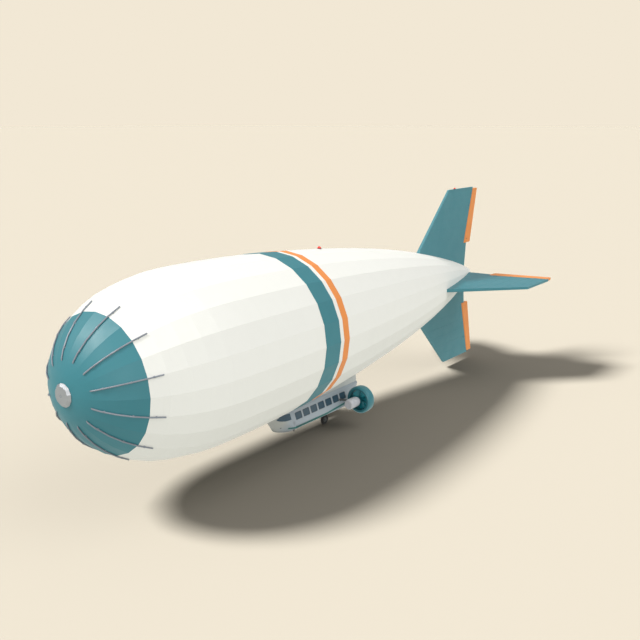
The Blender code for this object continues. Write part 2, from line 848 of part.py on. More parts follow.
def build_gondola():
    """Hollow cabin, split into nose, tail, roof, belly, two sides and the door, with windows cut."""
    surface = cabin_paint()
    shell = skin_layer(0.0, GONDOLA_WALL, "shell")
    for side in (1, -1):
        tool = side_prism(COCKPIT_WINDOW, side, COCKPIT_WINDOW_OUT, "cut", surface)
        boolean(shell, tool, "DIFFERENCE")
    for side, starts in side_windows():
        for start in starts:
            tool = side_prism(window_corners(start), side, 0.5, "cut", surface)
            boolean(shell, tool, "DIFFERENCE")
    nose = station(NOSE_SPLIT)
    tail = station(TAIL_SPLIT)
    half = GAP / 2
    far = 1.0
    bottom = KEEL[1] - far
    top = ROOF[1] + far
    middle = (nose + half, tail - half)
    slices = (
        ("gondola_nose", (-far, nose - far, bottom), (far, nose - half, top)),
        ("gondola_tail", (-far, tail + half, bottom), (far, tail + 2 * far, top)),
        ("gondola_belly", (-far, middle[0], bottom), (far, middle[1], BELLY_TOP - half)),
        ("gondola_roof", (-far, middle[0], SIDE_TOP + half), (far, middle[1], top)),
        ("gondola_side_port", (0.0, middle[0], BELLY_TOP + half), (far, middle[1], SIDE_TOP - half)),
        ("gondola_side_starboard", (-far, middle[0], BELLY_TOP + half), (0.0, middle[1], SIDE_TOP - half)),
    )
    for name, low, high in slices:
        piece = sliced(shell, name, low, high, surface)
    start = DOOR_START - RUN_GAP
    end = DOOR_START + DOOR_WIDTH + RUN_GAP
    low = DOOR_BOTTOM - RUN_GAP
    high = DOOR_TOP + RUN_GAP
    boolean(piece, side_box(0.5, 1.0, start, end, low, high, -1, "cut", surface), "DIFFERENCE")
    build_door(shell, surface)
    bpy.data.objects.remove(shell)


def build_glass():
    """Dark glazing: a strip behind each wall with a raised pane in each window."""
    surface = material("slate_glass", SLATE, 0.08)
    back = GONDOLA_WALL + GAP
    strips = skin_layer(back, back + PANE_THICKNESS, "strips")
    panes = skin_layer(PANE_SINK, back + PANE_THICKNESS / 2, "panes")
    names = ("glass_port", "glass_starboard", "glass_door")
    for name, (side, starts) in zip(names, side_windows()):
        first = starts[0] - PANE_MARGIN
        last = starts[-1] + WINDOW_WIDTH + WINDOW_LEAN + PANE_MARGIN
        low = WINDOW_BOTTOM - PANE_MARGIN
        high = WINDOW_TOP + PANE_MARGIN
        strip = copy_of(strips, name, surface)
        tool = side_box(0.5, 1.0, first, last, low, high, side, "slice", surface)
        boolean(strip, tool, "INTERSECT")
        for start in starts:
            pane = copy_of(panes, "pane", surface)
            tool = side_prism(window_corners(start, GAP), side, 0.5, "slice", surface)
            boolean(pane, tool, "INTERSECT")
            boolean(strip, pane, "UNION")
    bpy.data.objects.remove(strips)
    bpy.data.objects.remove(panes)
    skin = skin_layer(PANE_SINK, 0.8 * GONDOLA_WALL, "skin")
    count = len(COCKPIT_WINDOW)
    middle = Vector((sum(aft for aft, z in COCKPIT_WINDOW), sum(z for aft, z in COCKPIT_WINDOW))) / count
    corners = []
    for corner in COCKPIT_WINDOW:
        pull = (middle - Vector(corner)).normalized() * 3 * GAP
        corners.append((corner[0] + pull.x, corner[1] + pull.y))
    for name, side in (("glass_cockpit_port", 1), ("glass_cockpit_starboard", -1)):
        pane = copy_of(skin, name, surface)
        tool = side_prism(corners, side, COCKPIT_WINDOW_OUT + 2 * GAP, "slice", surface)
        boolean(pane, tool, "INTERSECT")
    bpy.data.objects.remove(skin)


def build_fairing():
    """Solid fairing that fills the space from the flat roof up to the envelope's two lowest gores."""
    drop = math.tan(math.pi / GORES)
    stops = {row[0] for row in FAIRING_SECTIONS}
    stops.update(stations_between(FAIRING_SECTIONS[0][0], FAIRING_SECTIONS[-1][0]))
    rings = []
    for aft in sorted(stops):
        for front, rear in zip(FAIRING_SECTIONS, FAIRING_SECTIONS[1:]):
            if aft <= rear[0]:
                share = (aft - front[0]) / (rear[0] - front[0])
                foot = front[1] + (rear[1] - front[1]) * share
                top = front[2] + (rear[2] - front[2]) * share
                break
        belly = -envelope_radius(aft) - 2 * GAP
        y = station(aft)
        rings.append(
            [
                Vector((foot, y, ROOF[1] + GAP)),
                Vector((top, y, belly + drop * top)),
                Vector((0.0, y, belly)),
                Vector((-top, y, belly + drop * top)),
                Vector((-foot, y, ROOF[1] + GAP)),
            ]
        )
    finish(lofted(rings), "roof_fairing", material("fairing_grey", FAIRING_GREY, 0.5))


def seat_row(name, rows, out, surface):
    """Seats one behind another on a floor rail, as one body."""
    rail_end = rows[-1] + SEAT_DEPTH + 0.02
    low = (out - SEAT_RAIL_HALF, station(rows[0]), FLOOR_Z)
    rail = box(low, (out + SEAT_RAIL_HALF, station(rail_end), FLOOR_Z + SEAT_RAIL), name, surface)
    seat_z = FLOOR_Z + SEAT_HEIGHT
    half = SEAT_WIDTH / 2
    for aft in rows:
        front = station(aft)
        rear = front + SEAT_DEPTH
        # half width, front, rear, low and high of the post, the cushion and the back
        blocks = (
            (SEAT_POST_HALF, front + SEAT_POST_FRONT, front + SEAT_POST_REAR, FLOOR_Z + SEAT_RAIL / 2, seat_z),
            (half, front, rear, seat_z - CUSHION_THICKNESS, seat_z + GAP),
            (half - 0.01, rear - BACK_THICKNESS, rear + 0.01, seat_z - 0.02, FLOOR_Z + SEAT_BACK),
        )
        for wide, start, end, base, top in blocks:
            block = box((out - wide, start, base), (out + wide, end, top), "block", surface)
            boolean(rail, block, "UNION")
    return rail


def build_interior():
    """Seats and instrument panel that show through the windows."""
    surface = material("seat_fabric", SEAT_GREY, 0.8)
    passengers = [SEAT_FIRST + SEAT_PITCH * i for i in range(SEAT_ROWS)]
    seat_row("seats_port", passengers, SEAT_OUT, surface)
    seat_row("seats_starboard", passengers[1:], -SEAT_OUT, surface)
    pilots = seat_row("seats_pilots", [PILOT_SEAT], PILOT_OUT, surface)
    other = seat_row("other", [PILOT_SEAT], -PILOT_OUT, surface)
    low = (-PILOT_OUT, station(PILOT_SEAT + SEAT_POST_FRONT), FLOOR_Z)
    high = (PILOT_OUT, station(PILOT_SEAT + SEAT_POST_REAR), FLOOR_Z + SEAT_RAIL / 2)
    boolean(pilots, box(low, high, "tie", surface), "UNION")
    boolean(pilots, other, "UNION")
    panel = material("panel_dark", DARK_STEEL, 0.6)
    front = station(PANEL_AFT)
    rear = front + PANEL_DEPTH
    low = (-PANEL_STAND_HALF, front + 0.01, FLOOR_Z)
    stand = box(low, (PANEL_STAND_HALF, rear - 0.01, PANEL_Z), "instrument_panel", panel)
    low = (-PANEL_HALF, front, PANEL_Z - 0.02)
    boolean(stand, box(low, (PANEL_HALF, rear, PANEL_TOP_Z), "top", panel), "UNION")


def about_fan(profile, sides, name, surface, loop=True):
    """Turn a closed profile of (aft, radius) about the port fan's axis."""
    shape = turned(profile, sides, loop=loop)
    bmesh.ops.translate(shape, verts=shape.verts, vec=(DUCT_OUT, 0.0, TILT_Z))
    return finish(shape, name, surface, 30)


def build_outrigger():
    """Tube from the gondola's wall to the pod's pivot, its foot cut to the leaning wall."""
    steel = dark_steel()
    y = station(TILT_AFT)
    inside = Vector((wall_half(OUTRIGGER_FOOT_Z) - 0.05, y, OUTRIGGER_FOOT_Z))
    pivot = Vector((TRUNNION_START - GAP, y, TILT_Z))
    along = (pivot - inside).normalized()
    foot = inside + along * (OUTRIGGER_FOOT_END - inside.x)
    flange = pivot - Vector((OUTRIGGER_FLANGE_LENGTH, 0.0, 0.0))
    made = rod(inside, pivot - along * 0.01, OUTRIGGER_RADIUS, 16, "outrigger_port", steel)
    boolean(made, rod(flange, pivot, OUTRIGGER_FLANGE, 24, "flange", steel), "UNION")
    boolean(made, rod(inside, foot, OUTRIGGER_FLANGE, 24, "foot", steel), "UNION")
    return boolean(made, gondola_body(-GAP, "clear"), "DIFFERENCE")


def build_nacelle():
    """Motor nacelle with its trunnion towards the outrigger."""
    white = cabin_paint()
    y = station(TILT_AFT)
    nacelle = about_fan(NACELLE_PROFILE, NACELLE_SIDES, "nacelle_port", white, loop=False)
    start = (TRUNNION_START, y, TILT_Z)
    trunnion = rod(start, (DUCT_OUT, y, TILT_Z), TRUNNION_RADIUS, 24, "trunnion", white)
    return boolean(nacelle, trunnion, "UNION")


def build_duct():
    """Shroud with the vanes that carry it on the nacelle's tail."""
    teal = teal_paint()
    duct = about_fan(DUCT_PROFILE, DUCT_SIDES, "duct_port", teal)
    facet = math.pi / NACELLE_SIDES
    root = TAIL_HUB_RADIUS * math.cos(facet) + GAP
    for i in range(VANES):
        low = (-VANE_HALF, station(VANE_FRONT), root)
        shape = box_shape(low, (VANE_HALF, station(VANE_REAR), DUCT_BORE + VANE_OVERLAP))
        turn = Matrix.Rotation(2.0 * math.pi * i / VANES + facet, 4, "Y")
        place = Matrix.Translation((DUCT_OUT, 0.0, TILT_Z)) @ turn
        bmesh.ops.transform(shape, matrix=place, verts=shape.verts)
        boolean(duct, finish(shape, "vane", teal), "UNION")
    return duct


def build_fan():
    """Fan with flat pitched blades on a hub behind the nacelle."""
    dark = material("fan_dark", (0.04, 0.13, 0.15, 1.0), 0.5)
    start = (DUCT_OUT, station(NACELLE_REAR + GAP), TILT_Z)
    end = (DUCT_OUT, station(FAN_REAR), TILT_Z)
    fan = rod(start, end, FAN_HUB, 24, "fan_port", dark, end_radius=FAN_HUB * 0.7)
    centre = Matrix.Translation((DUCT_OUT, station(FAN_MIDDLE), TILT_Z))
    pitch = Matrix.Rotation(math.pi / 2 - FAN_PITCH, 4, "Z")
    for i in range(FAN_BLADES):
        low = (-FAN_CHORD / 2, -FAN_BLADE_HALF, FAN_HUB * 0.4)
        shape = box_shape(low, (FAN_CHORD / 2, FAN_BLADE_HALF, FAN_TIP))
        turn = Matrix.Rotation(2.0 * math.pi * i / FAN_BLADES, 4, "Y")
        bmesh.ops.transform(shape, matrix=centre @ turn @ pitch, verts=shape.verts)
        boolean(fan, finish(shape, "blade", dark), "UNION")
    return fan


def build_pods():
    """Port outrigger, nacelle, shroud and fan, each mirrored to starboard."""
    for piece in (build_outrigger(), build_nacelle(), build_duct(), build_fan()):
        mirrored(piece, piece.name.replace("port", "starboard"))


def fork_arm(steel):
    """Slanted plate from the fork's bridge down to the axle, on the starboard side of the wheel."""
    top = Vector((0.0, station(SWIVEL_AFT), FORK_HEAD_FOOT_Z))
    low = Vector((0.0, station(WHEEL_AFT), WHEEL_Z))
    along = (low - top).normalized()
    side = Vector((0.0, -along.z, along.y))
    foot = low + along * FORK_ARM_FOOT
    corners = [
        top + side * FORK_ARM_TOP,
        top - side * FORK_ARM_TOP,
        foot - side * FORK_ARM_FOOT,
        foot + side * FORK_ARM_FOOT,
    ]
    rings = []
    for x in (-FORK_ARM_OUT - FORK_ARM_HALF, -FORK_ARM_OUT + FORK_ARM_HALF):
        rings.append([Vector((x, corner.y, corner.z)) for corner in corners])
    return finish(lofted(rings), "arm", steel)


def wheel_turned(profile, name, surface):
    """Turn a closed profile of (across, radius) about the axle."""
    rings = []
    for i in range(WHEEL_SIDES):
        angle = 2.0 * math.pi * i / WHEEL_SIDES
        y = station(WHEEL_AFT)
        out = Vector((0.0, math.cos(angle), math.sin(angle)))
        rings.append([Vector((across, y, WHEEL_Z)) + out * radius for across, radius in profile])
    shape, rows = skinned(rings)
    count = len(profile)
    for i in range(count):
        j = (i + 1) % count
        shape.faces.new((rows[-1][i], rows[-1][j], rows[0][j], rows[0][i]))
    finish(shape, name, surface, 35)


def build_gear():
    """Castoring wheel on one leg under the cabin."""
    steel = dark_steel()
    y = station(SWIVEL_AFT)
    rod((0.0, y, LEG_FOOT_Z), (0.0, y, KEEL[1] - GAP), LEG_RADIUS, 20, "gear_leg", steel)
    top = (0.0, y, LEG_FOOT_Z - GAP)
    head = rod((0.0, y, FORK_HEAD_FOOT_Z), top, FORK_HEAD_RADIUS, 20, "gear_fork", steel)
    half = FORK_BRIDGE_HALF
    low = (-FORK_ARM_OUT - FORK_ARM_HALF, y - FORK_ARM_TOP, FORK_HEAD_FOOT_Z - half)
    high = (0.03, y + FORK_ARM_TOP, FORK_HEAD_FOOT_Z + half)
    boolean(head, box(low, high, "bridge", steel), "UNION")
    boolean(head, fork_arm(steel), "UNION")
    axle_y = station(WHEEL_AFT)
    start = (-FORK_ARM_OUT, axle_y, WHEEL_Z)
    end = (-WHEEL_HALF - GAP, axle_y, WHEEL_Z)
    boolean(head, rod(start, end, AXLE_RADIUS, 16, "axle", steel), "UNION")

    side = [
        (0.6 * WHEEL_HALF, WHEEL_RADIUS),
        (WHEEL_HALF, WHEEL_RADIUS - WHEEL_SHOULDER),
        (WHEEL_HALF, RIM_RADIUS + 0.03),
        (0.8 * WHEEL_HALF, RIM_RADIUS + GAP),
    ]
    profile = [(-across, radius) for across, radius in reversed(side)] + side
    wheel_turned(profile, "wheel_tyre", material("tyre_black", TYRE_BLACK, 0.8))
    silver = material("hub_silver", SILVER, 0.35, 0.7)
    rim = 0.78 * WHEEL_HALF
    hub = rod((-rim, axle_y, WHEEL_Z), (rim, axle_y, WHEEL_Z), RIM_RADIUS, 32, "wheel_hub", silver)
    start = (-WHEEL_HALF, axle_y, WHEEL_Z)
    end = (1.1 * WHEEL_HALF, axle_y, WHEEL_Z)
    boolean(hub, rod(start, end, HUB_CAP_RADIUS, 20, "cap", silver), "UNION")


def main():
    """Clear the scene and build every piece."""
    for old in list(bpy.data.objects):
        bpy.data.objects.remove(old)
    build_envelope()
    build_cap()
    build_battens()
    build_belts()
    build_tail()
    build_beacons()
    build_gondola()
    build_glass()
    build_fairing()
    build_interior()
    build_pods()
    build_gear()


main()
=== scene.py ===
"""Looks of a half-scale airship: its finishes, fine parts and studio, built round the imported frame.

The frame is in metres with +Z up. The nose points to -Y and the port side is +X. Distances "aft" are
measured from the nose tip, and station() turns them into Y.
"""

from __future__ import annotations

import json
import logging
import math
from dataclasses import dataclass
from enum import Enum
from typing import Any, Callable, Sequence

import bmesh
import bpy
from mathutils import Matrix, Vector
from mathutils.bvhtree import BVHTree

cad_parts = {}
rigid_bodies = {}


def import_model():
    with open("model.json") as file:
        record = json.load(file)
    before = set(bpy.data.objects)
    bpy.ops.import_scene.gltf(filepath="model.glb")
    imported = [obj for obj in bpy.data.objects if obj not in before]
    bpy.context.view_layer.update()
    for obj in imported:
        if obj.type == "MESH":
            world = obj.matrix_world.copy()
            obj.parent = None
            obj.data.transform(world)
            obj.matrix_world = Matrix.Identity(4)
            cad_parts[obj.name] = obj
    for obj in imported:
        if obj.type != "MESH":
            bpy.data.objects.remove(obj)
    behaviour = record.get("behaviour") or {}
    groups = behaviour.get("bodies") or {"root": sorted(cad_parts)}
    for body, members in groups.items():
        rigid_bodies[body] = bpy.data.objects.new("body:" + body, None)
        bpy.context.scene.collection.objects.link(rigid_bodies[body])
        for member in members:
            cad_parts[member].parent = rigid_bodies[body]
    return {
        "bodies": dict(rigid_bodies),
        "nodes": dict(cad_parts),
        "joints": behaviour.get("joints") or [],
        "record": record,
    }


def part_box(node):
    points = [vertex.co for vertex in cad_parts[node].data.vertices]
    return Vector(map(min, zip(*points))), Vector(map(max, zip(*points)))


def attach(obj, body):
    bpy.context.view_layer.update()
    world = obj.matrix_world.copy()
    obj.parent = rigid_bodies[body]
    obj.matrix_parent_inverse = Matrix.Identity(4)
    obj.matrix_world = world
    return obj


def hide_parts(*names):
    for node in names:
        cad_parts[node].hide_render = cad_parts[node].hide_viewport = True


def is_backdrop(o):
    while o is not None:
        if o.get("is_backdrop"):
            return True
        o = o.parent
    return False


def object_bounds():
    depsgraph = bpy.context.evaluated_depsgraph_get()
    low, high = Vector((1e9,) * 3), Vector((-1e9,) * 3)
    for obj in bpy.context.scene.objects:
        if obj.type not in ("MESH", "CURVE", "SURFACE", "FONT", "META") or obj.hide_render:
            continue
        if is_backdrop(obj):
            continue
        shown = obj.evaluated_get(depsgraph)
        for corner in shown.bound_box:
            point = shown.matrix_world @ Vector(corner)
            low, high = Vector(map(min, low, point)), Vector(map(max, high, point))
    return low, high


LOG = logging.getLogger("airship")

Pair = tuple[float, float]
Triple = tuple[float, float, float]
Color = Triple
Profile = Sequence[Pair]
Profiles = tuple[Pair, ...]
Node = bpy.types.Node
Socket = bpy.types.NodeSocket
Object = bpy.types.Object

LIFT_FROM_NOSE = 10.9
GORES = 24
SKIN_GAP = 0.0005
MERGE_DISTANCE = 1e-5
SMOOTH_ANGLE = 35.0

UP = Vector((0.0, 0.0, 1.0))
PORT = Vector((1.0, 0.0, 0.0))
AFT = Vector((0.0, 1.0, 0.0))


def station(aft: float) -> float:
    """Turn a distance aft of the nose into a Y coordinate."""
    return aft - LIFT_FROM_NOSE


class Side(Enum):
    """Side of the ship, with its sign along X."""

    PORT = 1
    STARBOARD = -1

    @property
    def word(self) -> str:
        """Name of the side, as the nodes use it."""
        return self.name.lower()

    def place(self, point: Vector) -> Vector:
        """Point of the port side, moved to this side."""
        return Vector((point.x * self.value, point.y, point.z))


class NodeBoard:
    """Adds nodes to one tree and links them."""

    def __init__(self, tree: bpy.types.NodeTree) -> None:
        """Start on an existing tree."""
        self.tree = tree

    def add(self, kind: str, inputs: dict[Any, Any] | None = None, **settings: Any) -> Node:
        """Add a node.

        Args:
            kind: Blender's identifier of the node.
            inputs: Socket name or number, with a value or with another node's output to link.
            settings: Attributes of the node, set before its inputs.

        Returns:
            The new node.
        """
        node = self.tree.nodes.new(kind)
        for key, value in settings.items():
            setattr(node, key, value)
        for key, value in (inputs or {}).items():
            if isinstance(value, Socket):
                self.tree.links.new(value, node.inputs[key])
            else:
                node.inputs[key].default_value = value
        return node

    def math(self, operation: str, *values: Any) -> Socket:
        """Output of a Math node over numbers or sockets."""
        return self.add("ShaderNodeMath", dict(enumerate(values)), operation=operation).outputs[0]

    def blend(self, share: Any, low: Any, high: Any) -> Socket:
        """Colour mixed from two colours by a share.

        Args:
            share: Share of the second colour.
            low: Colour at a share of 0.
            high: Colour at a share of 1.

        Returns:
            The mixed colour.
        """
        node = self.add("ShaderNodeMix", data_type="RGBA")
        for key, value in ((0, share), (6, low), (7, high)):
            if isinstance(value, Socket):
                self.tree.links.new(value, node.inputs[key])
            elif key == 0:
                node.inputs[key].default_value = value
            else:
                node.inputs[key].default_value = (*value, 1.0)
        return node.outputs[2]

    def span(self, value: Socket, low: float, high: float, to_low: float = 0.0,
             to_high: float = 1.0) -> Socket:
        """Value mapped from one span to another, clamped."""
        limits = {0: value, 1: low, 2: high, 3: to_low, 4: to_high}
        return self.add("ShaderNodeMapRange", limits).outputs[0]

    def between(self, value: Socket, low: float, high: float) -> Socket:
        """Mask that is 1 where the value lies between two limits."""
        above = self.math("GREATER_THAN", value, low)
        below = self.math("LESS_THAN", value, high)
        return self.math("MULTIPLY", above, below)


class ShaderGroup:
    """Shader node group with named inputs and outputs, built once."""

    def __init__(self, name: str, inputs: dict[str, tuple[str, float]], outputs: dict[str, str],
                 build: Callable[[NodeBoard, Node, Node], None]) -> None:
        """Build the group.

        Args:
            name: Name of the group.
            inputs: Input names, each with a socket kind and a first value.
            outputs: Output names, each with a socket kind.
            build: Function that fills the tree between its input and output nodes.
        """
        self.tree = bpy.data.node_groups.new(name, "ShaderNodeTree")
        for label, (kind, value) in inputs.items():
            socket = self.tree.interface.new_socket(label, in_out="INPUT", socket_type=kind)
            if kind == "NodeSocketFloat":
                socket.default_value = value
        for label, kind in outputs.items():
            self.tree.interface.new_socket(label, in_out="OUTPUT", socket_type=kind)
        board = NodeBoard(self.tree)
        build(board, board.add("NodeGroupInput"), board.add("NodeGroupOutput"))

    def put(self, board: NodeBoard, inputs: dict[str, Any]) -> Node:
        """Place the group in a material's tree with its own values."""
        return board.add("ShaderNodeGroup", inputs, node_tree=self.tree)


def build_grain(board: NodeBoard, given: Node, result: Node) -> None:
    """Fine grain and broad creases of a surface, as a tone and a height.

    Args:
        board: Board of the tree.
        given: The group's input node.
        result: The group's output node.
    """
    place = given.outputs["Vector"]
    fine = board.add("ShaderNodeTexNoise", {"Vector": place, "Scale": given.outputs["Scale"], "Detail": 3.0})
    broad_scale = board.math("MULTIPLY", given.outputs["Scale"], 0.02)
    broad = board.add("ShaderNodeTexNoise", {"Vector": place, "Scale": broad_scale, "Detail": 4.0})
    crease = board.math("MULTIPLY", broad.outputs[0], given.outputs["Crease"])
    height = board.math("ADD", fine.outputs[0], crease)
    board.tree.links.new(height, result.inputs["Height"])
    tone = board.math("MULTIPLY", board.math("ADD", fine.outputs[0], broad.outputs[0]), 0.5)
    board.tree.links.new(board.span(tone, 0.35, 0.65), result.inputs["Tone"])


def build_weather(board: NodeBoard, given: Node, result: Node) -> None:
    """Dust and faint rain streaks, as a mask.

    Args:
        board: Board of the tree.
        given: The group's input node.
        result: The group's output node.
    """
    stretch = board.add("ShaderNodeMapping", {"Vector": given.outputs["Vector"], "Scale": (3.0, 3.0, 0.5)})
    streaks = board.add("ShaderNodeTexNoise", {"Vector": stretch.outputs[0], "Scale": given.outputs["Scale"],
                                               "Detail": 5.0, "Roughness": 0.65})
    spread = board.span(streaks.outputs[0], 0.42, 0.75)
    mask = board.math("MULTIPLY", spread, given.outputs["Amount"])
    board.tree.links.new(mask, result.inputs["Mask"])


def build_panels(board: NodeBoard, given: Node, result: Node) -> None:
    """Cloth panels of the gores, staggered from gore to gore, as a tone and a seam mask.

    Args:
        board: Board of the tree.
        given: The group's input node.
        result: The group's output node.
    """
    split = board.add("ShaderNodeSeparateXYZ", {0: given.outputs["Vector"]})
    turn = board.math("ARCTAN2", split.outputs[2], split.outputs[0])
    gore = board.math("FLOOR", board.math("MULTIPLY", turn, GORES / math.tau))
    stagger = board.math("MULTIPLY", gore, 0.37)
    along = board.math("DIVIDE", split.outputs[1], given.outputs["Length"])
    run = board.math("ADD", along, stagger)
    panel = board.math("FLOOR", run)
    cell = board.add("ShaderNodeCombineXYZ", {0: gore, 1: panel})
    tone = board.add("ShaderNodeTexWhiteNoise", {"Vector": cell.outputs[0]}, noise_dimensions="3D")
    board.tree.links.new(tone.outputs["Value"], result.inputs["Tone"])
    edge = board.math("ABSOLUTE", board.math("SUBTRACT", board.math("FRACT", run), 0.5))
    cross = board.span(edge, 0.488, 0.492)
    share = board.math("FRACT", board.math("MULTIPLY", turn, GORES / math.tau))
    off = board.math("SUBTRACT", 0.5, board.math("ABSOLUTE", board.math("SUBTRACT", share, 0.5)))
    flat = board.add("ShaderNodeCombineXYZ", {0: split.outputs[0], 1: split.outputs[2]})
    reach = board.add("ShaderNodeVectorMath", {0: flat.outputs[0]}, operation="LENGTH")
    away = board.math("MULTIPLY", off, board.math("MULTIPLY", reach.outputs["Value"], math.tau / GORES))
    fold = board.span(away, 0.026, 0.022)
    board.tree.links.new(board.math("MAXIMUM", cross, fold), result.inputs["Seam"])


def build_weave(board: NodeBoard, given: Node, result: Node) -> None:
    """Crossed threads of a woven cloth, as a height.

    Args:
        board: Board of the tree.
        given: The group's input node.
        result: The group's output node.
    """
    split = board.add("ShaderNodeSeparateXYZ", {0: given.outputs["Vector"]})
    rows = board.math("ADD", split.outputs[0], split.outputs[2])
    warp = board.math("SINE", board.math("MULTIPLY", rows, given.outputs["Threads"]))
    weft = board.math("SINE", board.math("MULTIPLY", split.outputs[1], given.outputs["Threads"]))
    board.tree.links.new(board.math("MULTIPLY", warp, weft), result.inputs["Height"])


@dataclass(frozen=True)
class Effects:
    """The shader groups that several finishes share."""

    grain: ShaderGroup
    weather: ShaderGroup
    panels: ShaderGroup
    weave: ShaderGroup

    @staticmethod
    def build() -> Effects:
        """Build all the groups."""
        vector = ("NodeSocketVector", 0.0)
        number = "NodeSocketFloat"
        grain_inputs = {"Vector": vector, "Scale": (number, 60.0), "Crease": (number, 1.0)}
        weather_inputs = {"Vector": vector, "Scale": (number, 1.0), "Amount": (number, 0.1)}
        return Effects(
            grain=ShaderGroup("surface_grain", grain_inputs, {"Tone": number, "Height": number}, build_grain),
            weather=ShaderGroup("weather", weather_inputs, {"Mask": number}, build_weather),
            panels=ShaderGroup("gore_panels", {"Vector": vector, "Length": (number, 1.6)},
                               {"Tone": number, "Seam": number}, build_panels),
            weave=ShaderGroup("weave", {"Vector": vector, "Threads": (number, 900.0)},
                              {"Height": number}, build_weave),
        )


DUST: Color = (0.42, 0.39, 0.33)


@dataclass(frozen=True)
class Finish:
    """A surface finish whose colour, roughness and relief vary with grain and weather."""

    name: str
    color: Color
    shade: Color
    roughness: float
    slot: str
    metallic: float = 0.0
    grain: float = 60.0
    crease: float = 1.0
    relief: float = 0.001
    weather: float = 0.08
    coat: float = 0.0

    def tinted(self, board: NodeBoard, place: Socket, tone: Socket,
               effects: Effects) -> Socket:
        """Base colour before the weather. Subclasses add their own marks."""
        return board.blend(tone, self.color, self.shade)

    def raised(self, board: NodeBoard, place: Socket, height: Socket,
               effects: Effects) -> Socket:
        """Height of the relief. Subclasses add their own marks."""
        return height

    def set_shader(self, shader: Node) -> None:
        """Set what is the same all over the surface."""
        shader.inputs["Metallic"].default_value = self.metallic
        shader.inputs["Coat Weight"].default_value = self.coat
        shader.inputs["Coat Roughness"].default_value = 0.15

    def make(self, effects: Effects) -> bpy.types.Material:
        """Build the material.

        Args:
            effects: The shared shader groups.

        Returns:
            The finished material.
        """
        made = bpy.data.materials.new(self.name)
        made.use_nodes = True
        board = NodeBoard(made.node_tree)
        shader = made.node_tree.nodes["Principled BSDF"]
        place = board.add("ShaderNodeTexCoord").outputs["Object"]
        grain = effects.grain.put(board, {"Vector": place, "Scale": self.grain, "Crease": self.crease})
        weather = effects.weather.put(board, {"Vector": place, "Scale": 0.8, "Amount": self.weather})
        color = self.tinted(board, place, grain.outputs["Tone"], effects)
        aged = board.blend(weather.outputs["Mask"], color, DUST)
        board.tree.links.new(aged, shader.inputs["Base Color"])
        rough = board.span(grain.outputs["Tone"], 0.0, 1.0, self.roughness * 0.88, self.roughness * 1.12)
        board.tree.links.new(rough, shader.inputs["Roughness"])
        height = self.raised(board, place, grain.outputs["Height"], effects)
        bump = board.add("ShaderNodeBump", {"Height": height, "Distance": self.relief, "Strength": 0.6})
        board.tree.links.new(bump.outputs[0], shader.inputs["Normal"])
        self.set_shader(shader)
        made.diffuse_color = (*self.color, 1.0)
        return made


@dataclass(frozen=True)
class GoreFabric(Finish):
    """Coated cloth of the envelope, cut in gores and panels."""

    panel_length: float = 1.6
    contrast: float = 0.3
    seam_share: float = 0.06
    seam_shade: Color = (0.66, 0.66, 0.63)

    def tinted(self, board: NodeBoard, place: Socket, tone: Socket,
               effects: Effects) -> Socket:
        """Panels of slightly different tone, with their cross seams.

        Args:
            board: Board of the tree.
            place: Object coordinates.
            tone: Mask of the grain.
            effects: The shared shader groups.

        Returns:
            The colour.
        """
        panels = effects.panels.put(board, {"Vector": place, "Length": self.panel_length})
        mixed = board.math("ADD", board.math("MULTIPLY", panels.outputs["Tone"], self.contrast),
                           board.math("MULTIPLY", tone, 1.0 - self.contrast))
        cloth = board.blend(mixed, self.color, self.shade)
        seam = board.math("MULTIPLY", panels.outputs["Seam"], self.seam_share)
        return board.blend(seam, cloth, self.seam_shade)

    def raised(self, board: NodeBoard, place: Socket, height: Socket,
               effects: Effects) -> Socket:
        """Creases with the doubled cloth of the seams on top."""
        panels = effects.panels.put(board, {"Vector": place, "Length": self.panel_length})
        return board.math("ADD", height, board.math("MULTIPLY", panels.outputs["Seam"], 0.4))


@dataclass(frozen=True)
class StripedPaint(Finish):
    """Painted shell with one stripe along its lower side, and a warmer, greener grey on the bow that is a
    painted reflection of the floor's warm light.
    """

    stripe: Color = (0.006, 0.125, 0.120)
    # Warmer, greener grey of the bow: painted reflection of the floor's warm light on the front-facing bow.
    bow: Color = (0.43, 0.44, 0.42)
    bow_start: float = station(10.50)
    bow_end: float = station(10.85)
    middle: float = -4.312
    half: float = 0.042
    rise_from: float = station(13.4)
    rise: float = 0.065
    start: float = station(10.80)
    end: float = station(15.06)
    out: float = 0.35

    def tinted(self, board: NodeBoard, place: Socket, tone: Socket,
               effects: Effects) -> Socket:
        """Paint with the stripe where its height, length and side say, over a shell that turns to the bow's
        painted reflection towards the front.

        Args:
            board: Board of the tree.
            place: Object coordinates.
            tone: Mask of the grain.
            effects: The shared shader groups.

        Returns:
            The colour.
        """
        split = board.add("ShaderNodeSeparateXYZ", {0: place})
        across = board.math("GREATER_THAN", board.math("ABSOLUTE", split.outputs[0]), self.out)
        past = board.math("MAXIMUM", board.math("SUBTRACT", split.outputs[1], self.rise_from), 0.0)
        lift = board.math("MULTIPLY", past, self.rise)
        level = board.between(board.math("SUBTRACT", split.outputs[2], lift), self.middle - self.half,
                              self.middle + self.half)
        along = board.between(split.outputs[1], self.start, self.end)
        normal = board.add("ShaderNodeNewGeometry").outputs["True Normal"]
        facing = board.add("ShaderNodeSeparateXYZ", {0: normal})
        outward = board.math("GREATER_THAN", board.math("MULTIPLY", facing.outputs[0], split.outputs[0]), 0.0)
        across = board.math("MULTIPLY", across, outward)
        mask = board.math("MULTIPLY", board.math("MULTIPLY", level, along), across)
        # Blend towards the bow's tone, a painted reflection of the floor's warm light, ahead of bow_end.
        aft = board.span(split.outputs[1], self.bow_start, self.bow_end)
        shell = board.blend(aft, self.bow, board.blend(tone, self.color, self.shade))
        return board.blend(mask, shell, self.stripe)


